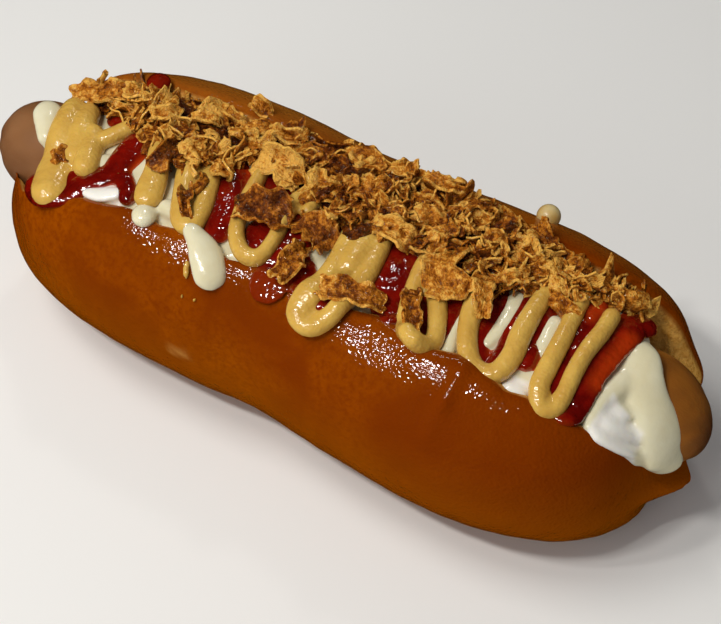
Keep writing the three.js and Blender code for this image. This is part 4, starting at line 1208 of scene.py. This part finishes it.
# Larger flakes that stand out: x, y, height above what is there, length, width, bend, yaw, pitch,
# roll and tone
MARKED_FLAKES = (
    # left end
    (-59.6, 8.2, 4.7, 16, 5.6, 0.7, 0.34, -0.12, 0.3, 0.4),
    (-61.5, 10.2, 6.8, 5.4, 2.6, 0.3, 0.5, -1.4, 0.2, 0.35),
    (-53.5, 11, 3.2, 6, 4.4, 0.9, 0.3, 0.1, 0.3, 0.10),
    (-48, 5, 3.0, 7, 3.6, 1.6, 1.8, 0.1, 0.5, 0.55),
    (-43.5, 6, 4.2, 5.5, 4.4, 1.1, 0.6, 0.1, 0.2, 0.15),
    (-36, -2.6, 4.4, 10.5, 4.4, 1.8, 1.5, 0.1, 0.5, 0.78),
    (-36, 14.4, 2.6, 6.4, 4.2, 1.2, 0.7, 0.1, 0.4, 0.15),
    (-32, 15.4, 2.2, 5.4, 3.6, 1.4, -0.2, 0.1, 0.3, 0.3),
    (-35, 9, 4.6, 6, 3, 1.0, 0.3, 0.1, 0.3, 0.25),
    (-31.5, 0, 4.8, 6, 5, 1.4, 1.3, 0.2, 0.4, 0.15),
    (-26.4, -5.4, 3.8, 8, 2.8, 1.6, 1.9, 0.1, 0.6, 0.6),
    (-24.6, -1.4, 3.6, 5, 4, 1.2, 0.9, 0.1, 0.2, 0.3),
    (-26, 9.4, 4.8, 6, 2.6, 0.8, 0.4, 0.1, 0.4, 0.2),
    (-25, 12.4, 4.0, 7.4, 3.8, 1.3, 0.4, -0.1, 0.4, 0.35),
    # middle
    (-14, 4.5, 4.4, 11.5, 8.4, 1.0, -0.15, 0.15, 0.45, 0.05),
    (-19, 13.6, 3.6, 9, 4.2, 1.2, 0.3, 0.1, 0.5, 0.2),
    (-27.4, 19.4, 1.4, 5, 3.8, 0.7, 0.0, 0.1, 0.2, 0.35),
    (-3, 10.4, 4.2, 7.4, 3.8, 1.5, -0.1, 0.1, 0.6, 0.85),
    (0.4, 11.6, 4.8, 8, 5, 1.1, -0.2, 0.2, 0.3, 0.1),
    (-2, 15.6, 2.8, 8, 4, 1.4, 0.1, 0.0, 0.5, 0.4),
    (-4, 3.6, 3.8, 8, 5.4, 1.4, -0.2, 0.1, 0.3, 0.35),
    (6, 6.6, 4.6, 8, 6.4, 1.6, 0.1, 0.1, 0.4, 0.5),
    (-0.2, -6.4, 2.6, 10.5, 7, 1.0, -0.25, 0.0, 0.2, 0.62),
    (8, -4.8, 4.4, 7, 4.4, 2.0, 0.3, 0.0, 0.7, 0.9),
    (14.6, -1.4, 4.4, 9.6, 5.4, 1.8, 0.0, 0.1, 0.4, 0.2),
    (9, 15.4, 3.4, 6, 4, 1.2, 0.7, 0.1, 0.4, 0.35),
    # right
    (19.2, 6.2, 5.2, 8, 5, 1.7, 0.9, 0.1, 0.3, 0.3),
    (24, 1, 4.8, 8.6, 6, 1.8, 1.0, 0.1, 0.3, 0.3),
    (18.4, 13.4, 4.6, 9, 4, 1.3, 0.15, 0.1, 0.4, 0.4),
    (21.4, 15.6, 3.8, 6.4, 4.2, 1.5, 1.5, 0.1, 0.5, 0.3),
    (27, 12.6, 5.4, 11.5, 7.2, 1.4, 1.35, 0.15, 0.3, 0.2),
    (34.4, 6, 5.0, 10, 5.6, 2.2, 1.65, 0.1, 0.4, 0.35),
    (36.6, 10.2, 4.4, 9, 3.6, 1.4, 1.9, 0.1, 0.6, 0.7),
    (42, 10.8, 4.4, 11, 5.4, 0.7, -0.5, 0.1, 0.2, 0.62),
    (40, 8.6, 6.4, 8, 1.8, 0.4, -0.9, -0.25, 0.4, 0.1),
    (45.6, 3, 4.6, 13, 5, 1.0, -0.6, 0.1, 0.4, 0.1),
    (51, -2.2, 3.6, 7.6, 3.8, 1.2, -0.5, 0.1, 0.3, 0.4),
    (50.4, 9, 4.2, 9, 5, 1.9, 1.7, 0.1, 0.4, 0.5),
    (59, 6, 3.6, 13, 4.6, 1.2, 0.15, 0.05, 0.4, 0.35),
    (40.6, -1, 4.6, 7, 3.8, 1.8, 0.7, 0.1, 0.4, 0.3),
    (36.7, -6.6, 4.6, 12, 4.4, 1.5, 1.9, 0.1, 0.4, 0.35),
    (28.3, -6.4, 4.6, 11, 9, 0.5, -0.95, 0.1, 0.15, 0.35),
)
LOOSE_FLAKES = (
    # lie apart, in the order of their numbers
    (-59, -9.5, 4.2, 4, 3.2, 0.8, 0.9, 0, 0.2, 0.5),
    (-26.8, -12, 4.0, 9, 3.6, 1.0, -1.0, 0.05, 0.2, 0.7),
    (-11.6, -7.2, 3.8, 12, 8.4, 0.8, 0.3, 0, 0.3, 0.72),
    (-0.4, -15.2, 3.6, 11.5, 5.2, 0.9, 1.55, 0.1, 0.4, 0.5),
    (14, -18.2, 4.4, 14, 5.6, 1.1, 0.2, 0.05, 0.35, 0.45),
    (26, -16.4, 4.4, 12, 4.4, 0.7, -1.05, 0.05, 0.3, 0.6),
)


def chosen(rows):
    """Rows of chosen flakes as the arrays that flakes() takes, and their tones."""
    x, y, above, *rest, tone = np.array(rows, float).T
    specs = dict(zip(("length", "width", "bend", "yaw", "pitch", "roll"), rest))
    count = len(rows)
    at = np.stack([x, y, lie_on(x, y) + above], axis=1)
    return {"at": at, "seed": 7.3 + x, "curl": 0.3 * (sequence(count, GOLDEN) - 0.5),
            "twist": 0.8 * (sequence(count, PLASTIC) - 0.5), **specs}, tone


def heap_core():
    """A lumpy dark core under the flakes, painted shade for the gaps between them, as rings round the
    heap's middle line.
    """
    rows, sides = 110, 40
    u = (1 - np.cos(math.pi * (np.arange(rows) + 0.5) / rows)) / 2
    x = (HEAP_ENDS[0] + 3 + (HEAP_ENDS[1] - HEAP_ENDS[0] - 6) * u)[:, None]
    middle, half, taper = heap_plan(x)
    a = 2 * math.pi * np.arange(sides) / sides
    y = middle + 0.7 * half * taper * np.cos(a)
    rise = np.where(np.sin(a) > 0, 0.7 * along(HEAP_HEIGHT, x) * taper * np.sin(a), np.sin(a))
    rings = np.stack(np.broadcast_arrays(x, y, lie_on(x, y) + 0.6 + rise), axis=-1)
    rings = rings + 0.9 * rough_noise(rings, 3.2, 17)[..., None] * grid_normals(rings)
    return outward(*closed_tube(rings))


def make_onions(settings):
    """The heap: a dark core as painted shade in the gaps, flakes over it in layers with painted shade
    on the deeper ones, chosen large flakes and small bits.
    """
    material = onion_material(settings.colours)
    points, faces = heap_core()
    # painted shade: the core takes nearly the darkest tone, so the gaps between the flakes look dark
    core = new_object("onion_heap_shade_core", points, faces, material, {
        "tone": np.full(len(points), 0.95), "edge": np.zeros(len(points)),
        "fibre_along": points[:, 0], "fibre_across": points[:, 1]})
    dress(core, "fried_onion", "fried_onions")
    count = settings.flake_count
    specs = heap_flakes(count, 1.0, 2.2, 0.0)
    # painted shade: flakes lying deeper in the heap get a darker tone
    tone = 0.04 + 0.65 * sequence(count, TRIBONACCI) ** 1.2 + specs.pop("depth") * 0.4
    heap = flake_piece("onion_heap_flakes", material, specs, tone, cells=(8, 4), thickness=0.55)
    dress(heap, "fried_onion", "fried_onions")
    bits = heap_flakes(count // 2, 0.55, 1.4, 0.37)
    # painted shade: bits lying deeper in the heap get a darker tone
    tone = 0.2 + 0.6 * sequence(count // 2, TRIBONACCI, 0.2) + bits.pop("depth") * 0.3
    small = flake_piece("onion_heap_bits", material, bits, tone, cells=(5, 3), thickness=0.6)
    dress(small, "fried_onion", "fried_onions")
    marked = flake_piece("onion_large_flakes", material, *chosen(MARKED_FLAKES), **LARGE)
    dress(marked, "fried_onion", "fried_onions")


def make_loose_flakes():
    """Six larger flakes that lie apart on the sauces, each a piece of its own."""
    material = bpy.data.materials["onion_flesh"]
    for k, row in enumerate(LOOSE_FLAKES, start=1):
        piece = flake_piece(f"loose_onion_{k:02d}", material, *chosen([row]), **LARGE)
        dress(piece, "fried_onion", f"onion_flake_{k:02d}")


# ---------------------------------------------------------------- stage
CAMERA_ELEVATION = 50.0
CAMERA_AZIMUTH = 27.7
CAMERA_DISTANCE = 360.0
CAMERA_TARGET = (6.5, 0.0, 19.8)
CAMERA_LENS = 85.08
CAMERA_SENSOR = 36.0
FLOOR_REACH = 3000.0
LAMP_COLOUR = (1.0, 0.97, 0.92)
LAMPS = (
    # name, direction from the hot dog, distance and side length in metres, watts, seen in shine
    ("overhead_softbox", (-0.40, -0.12, 0.88), 0.85, 0.32, 2.4, False),
    ("front_fill", (-0.40, -0.87, 0.30), 1.1, 0.9, 3.9, False),
    ("right_fill", (0.90, -0.35, 0.20), 1.1, 0.8, 0.9, False),
    ("left_spot", (-0.38, -0.44, 0.81), 0.58, 0.030, 0.40, True),
    ("middle_spot", (-0.21, -0.46, 0.86), 0.55, 0.045, 0.55, True),
    ("right_spot", (-0.11, -0.47, 0.87), 0.54, 0.030, 0.36, True),
    ("back_spot", (-0.30, 0.50, 0.80), 0.60, 0.05, 0.20, True),
)


def lamp(name, direction, distance, size, power, shine):
    """A soft square light that looks at the hot dog from a direction."""
    data = bpy.data.lights.new(name, "AREA")
    data.shape = "SQUARE"
    data.size = size
    data.energy = power
    data.color = LAMP_COLOUR
    light = bpy.data.objects.new(name, data)
    light.visible_glossy = shine
    toward = Vector(direction).normalized()
    light.location = Vector(CAMERA_TARGET) * MM + toward * distance
    light.rotation_euler = (-toward).to_track_quat("-Z", "Y").to_euler()
    bpy.context.scene.collection.objects.link(light)


def make_stage(settings):
    """A plain pale floor, soft studio light and the camera."""
    scene = bpy.context.scene
    scene.view_settings.view_transform = "Standard"
    material, tree = new_material("floor")
    finish_material(material, tree, {"Base Color": (0.86, 0.86, 0.85, 1.0), "Roughness": 0.8})
    corners = FLOOR_REACH * np.array([(-1, -1, 0), (1, -1, 0), (1, 1, 0), (-1, 1, 0)])
    floor = new_object("floor", corners, [[0, 1, 2, 3]], material)
    floor.visible_glossy = False

    world = bpy.data.worlds.new("studio")
    world.use_nodes = True
    background = world.node_tree.nodes["Background"]
    background.inputs["Color"].default_value = (0.95, 0.97, 1.0, 1.0)
    background.inputs["Strength"].default_value = settings.ambient
    world.cycles_visibility.glossy = False
    scene.world = world
    for row in LAMPS:
        lamp(*row)

    azimuth, elevation = math.radians(CAMERA_AZIMUTH), math.radians(CAMERA_ELEVATION)
    back = Vector((math.sin(azimuth) * math.cos(elevation),
                   -math.cos(azimuth) * math.cos(elevation), math.sin(elevation)))
    data = bpy.data.cameras.new("camera")
    data.lens = CAMERA_LENS
    data.sensor_width = CAMERA_SENSOR
    data.clip_start = 0.01
    camera = bpy.data.objects.new("camera", data)
    camera.location = (Vector(CAMERA_TARGET) + back * CAMERA_DISTANCE) * MM
    camera.rotation_euler = (-back).to_track_quat("-Z", "Y").to_euler()
    scene.collection.objects.link(camera)
    scene.camera = camera


# ---------------------------------------------------------------- add-on
def colour(name, description, default):
    """A colour property with linear values."""
    return FloatVectorProperty(name=name, description=description, default=default,
                               subtype="COLOR", size=3, min=0.0, max=1.0)


class HotDogColours(bpy.types.PropertyGroup):
    """Colours of the crust, the sausage, the sauces and the onions."""
    crust: colour("Crust", "Lighter tone of the crust", (0.27, 0.054, 0.0003))
    # also used as the painted shade towards the right end of the near side
    crust_dark: colour("Dark crust", "Darker patches and freckles", (0.18, 0.028, 0.0004))
    # painted bounce light: lighter tone towards the underside
    crust_low: colour("Low crust", "Crust near the underside", (0.36, 0.095, 0.001))
    # painted sheen: paler far half, in place of the reflection of the pale surroundings
    crust_far_sheen: colour("Far crust", "Paler side of the far half", (0.42, 0.155, 0.018))
    crumb: colour("Crumb", "Bread inside the cut", (0.72, 0.39, 0.09))
    crumb_dark: colour("Crumb hollows", "Deeper tone of the crumb", (0.5, 0.21, 0.028))
    sausage: colour("Sausage", "Skin at the left end", (0.25, 0.113, 0.045))
    sausage_warm: colour("Warm sausage", "Skin at the right end", (0.35, 0.118, 0.01))
    sausage_dark: colour("Dark sausage", "Browned patches and tips", (0.11, 0.035, 0.008))
    mayonnaise: colour("Mayonnaise", "Light tone", (0.76, 0.715, 0.515))
    mayonnaise_shade: colour("Mayonnaise shade", "Second tone", (0.7, 0.64, 0.43))
    # painted light: whiter where the mayonnaise lies in shade
    mayonnaise_painted_light: colour("Bare mayonnaise", "Whitest, where the bed shows", (0.89, 0.86, 0.79))
    ketchup: colour("Ketchup", "Thick ketchup", (0.2, 0.005, 0.0015))
    ketchup_dark: colour("Dark ketchup", "Deepest ketchup", (0.1, 0.002, 0.001))
    ketchup_thin: colour("Thin ketchup", "Ketchup where it is thin", (0.62, 0.055, 0.004))
    ketchup_film: colour("Ketchup film", "Smear on the crust", (0.2, 0.018, 0.0015))
    mustard: colour("Mustard", "Light tone", (0.66, 0.41, 0.082))
    mustard_dark: colour("Mustard shade", "Second tone", (0.56, 0.32, 0.058))
    mustard_pale: colour("Pale mustard", "Drop on the far half", (0.64, 0.5, 0.24))
    onion_pale: colour("Pale onion", "Least fried", (0.84, 0.45, 0.085))
    onion_gold: colour("Golden onion", "Well fried", (0.53, 0.18, 0.013))
    onion_brown: colour("Brown onion", "Browned", (0.18, 0.04, 0.002))
    # also the painted shade in the gaps, the hollows and the deep flakes
    onion_burnt_and_shade: colour("Burnt onion", "Edges and hollows", (0.035, 0.005, 0.0006))


class HotDogSettings(bpy.types.PropertyGroup):
    """Sizes and counts that change the look."""
    crust_relief: FloatProperty(
        name="Crust relief", description="How uneven the crust is", default=0.0004,
        min=0.0, max=0.002, unit="LENGTH")
    voxel: FloatProperty(
        name="Sauce detail", description="Finest detail of the melted sauces", default=0.00045,
        min=0.0003, max=0.002, unit="LENGTH")
    flake_count: IntProperty(
        name="Onion flakes", description="Flakes of full size in the heap", default=440,
        min=50, max=900)
    ambient: FloatProperty(
        name="Room light", description="Strength of the light from all around", default=0.16,
        min=0.0, max=3.0)
    colours: PointerProperty(type=HotDogColours)


class HOTDOG_OT_roll(bpy.types.Operator):
    """Make the split roll"""
    bl_idname = "hotdog.roll"
    bl_label = "Roll"

    def execute(self, context):
        make_roll(context.scene.hot_dog)
        return {"FINISHED"}


class HOTDOG_OT_sausage(bpy.types.Operator):
    """Make the sausage"""
    bl_idname = "hotdog.sausage"
    bl_label = "Sausage"

    def execute(self, context):
        make_sausage(context.scene.hot_dog)
        return {"FINISHED"}


class HOTDOG_OT_mayonnaise(bpy.types.Operator):
    """Make the mayonnaise"""
    bl_idname = "hotdog.mayonnaise"
    bl_label = "Mayonnaise"

    def execute(self, context):
        make_mayonnaise(context.scene.hot_dog)
        return {"FINISHED"}


class HOTDOG_OT_ketchup(bpy.types.Operator):
    """Make the ketchup and its drop on the far half"""
    bl_idname = "hotdog.ketchup"
    bl_label = "Ketchup"

    def execute(self, context):
        make_ketchup(context.scene.hot_dog)
        return {"FINISHED"}


class HOTDOG_OT_mustard(bpy.types.Operator):
    """Make the mustard and its drop on the far half"""
    bl_idname = "hotdog.mustard"
    bl_label = "Mustard"

    def execute(self, context):
        make_mustard(context.scene.hot_dog)
        return {"FINISHED"}


class HOTDOG_OT_onions(bpy.types.Operator):
    """Make the heap of fried onions"""
    bl_idname = "hotdog.onions"
    bl_label = "Fried onions"

    def execute(self, context):
        make_onions(context.scene.hot_dog)
        return {"FINISHED"}


class HOTDOG_OT_loose_flakes(bpy.types.Operator):
    """Make the onion flakes that lie apart"""
    bl_idname = "hotdog.loose_flakes"
    bl_label = "Loose flakes"

    def execute(self, context):
        make_loose_flakes()
        return {"FINISHED"}


class HOTDOG_OT_stage(bpy.types.Operator):
    """Make the floor, the lights and the camera"""
    bl_idname = "hotdog.stage"
    bl_label = "Stage"

    def execute(self, context):
        make_stage(context.scene.hot_dog)
        return {"FINISHED"}


STEPS = (HOTDOG_OT_roll, HOTDOG_OT_sausage, HOTDOG_OT_mayonnaise, HOTDOG_OT_ketchup,
         HOTDOG_OT_mustard, HOTDOG_OT_onions, HOTDOG_OT_loose_flakes, HOTDOG_OT_stage)


class HOTDOG_PT_panel(bpy.types.Panel):
    """Lists the settings and the steps"""
    bl_idname = "HOTDOG_PT_panel"
    bl_label = "Hot Dog"
    bl_space_type = "VIEW_3D"
    bl_region_type = "UI"
    bl_category = "Hot Dog"

    def draw(self, context):
        settings = context.scene.hot_dog
        for group in (settings, settings.colours):
            for key in group.__annotations__:
                if key != "colours":
                    self.layout.prop(group, key)
        for step in STEPS:
            self.layout.operator(step.bl_idname)


CLASSES = (HotDogColours, HotDogSettings, *STEPS, HOTDOG_PT_panel)


def register():
    """Registers the classes and the scene's settings."""
    for cls in CLASSES:
        bpy.utils.register_class(cls)
    bpy.types.Scene.hot_dog = PointerProperty(type=HotDogSettings)


def unregister():
    """Removes what register added."""
    del bpy.types.Scene.hot_dog
    for cls in reversed(CLASSES):
        bpy.utils.unregister_class(cls)


def main():
    """Makes every piece in order."""
    register()
    bpy.ops.hotdog.roll()
    bpy.ops.hotdog.sausage()
    bpy.ops.hotdog.mayonnaise()
    bpy.ops.hotdog.ketchup()
    bpy.ops.hotdog.mustard()
    bpy.ops.hotdog.onions()
    bpy.ops.hotdog.loose_flakes()
    bpy.ops.hotdog.stage()


if __name__ == "__main__":
    main()
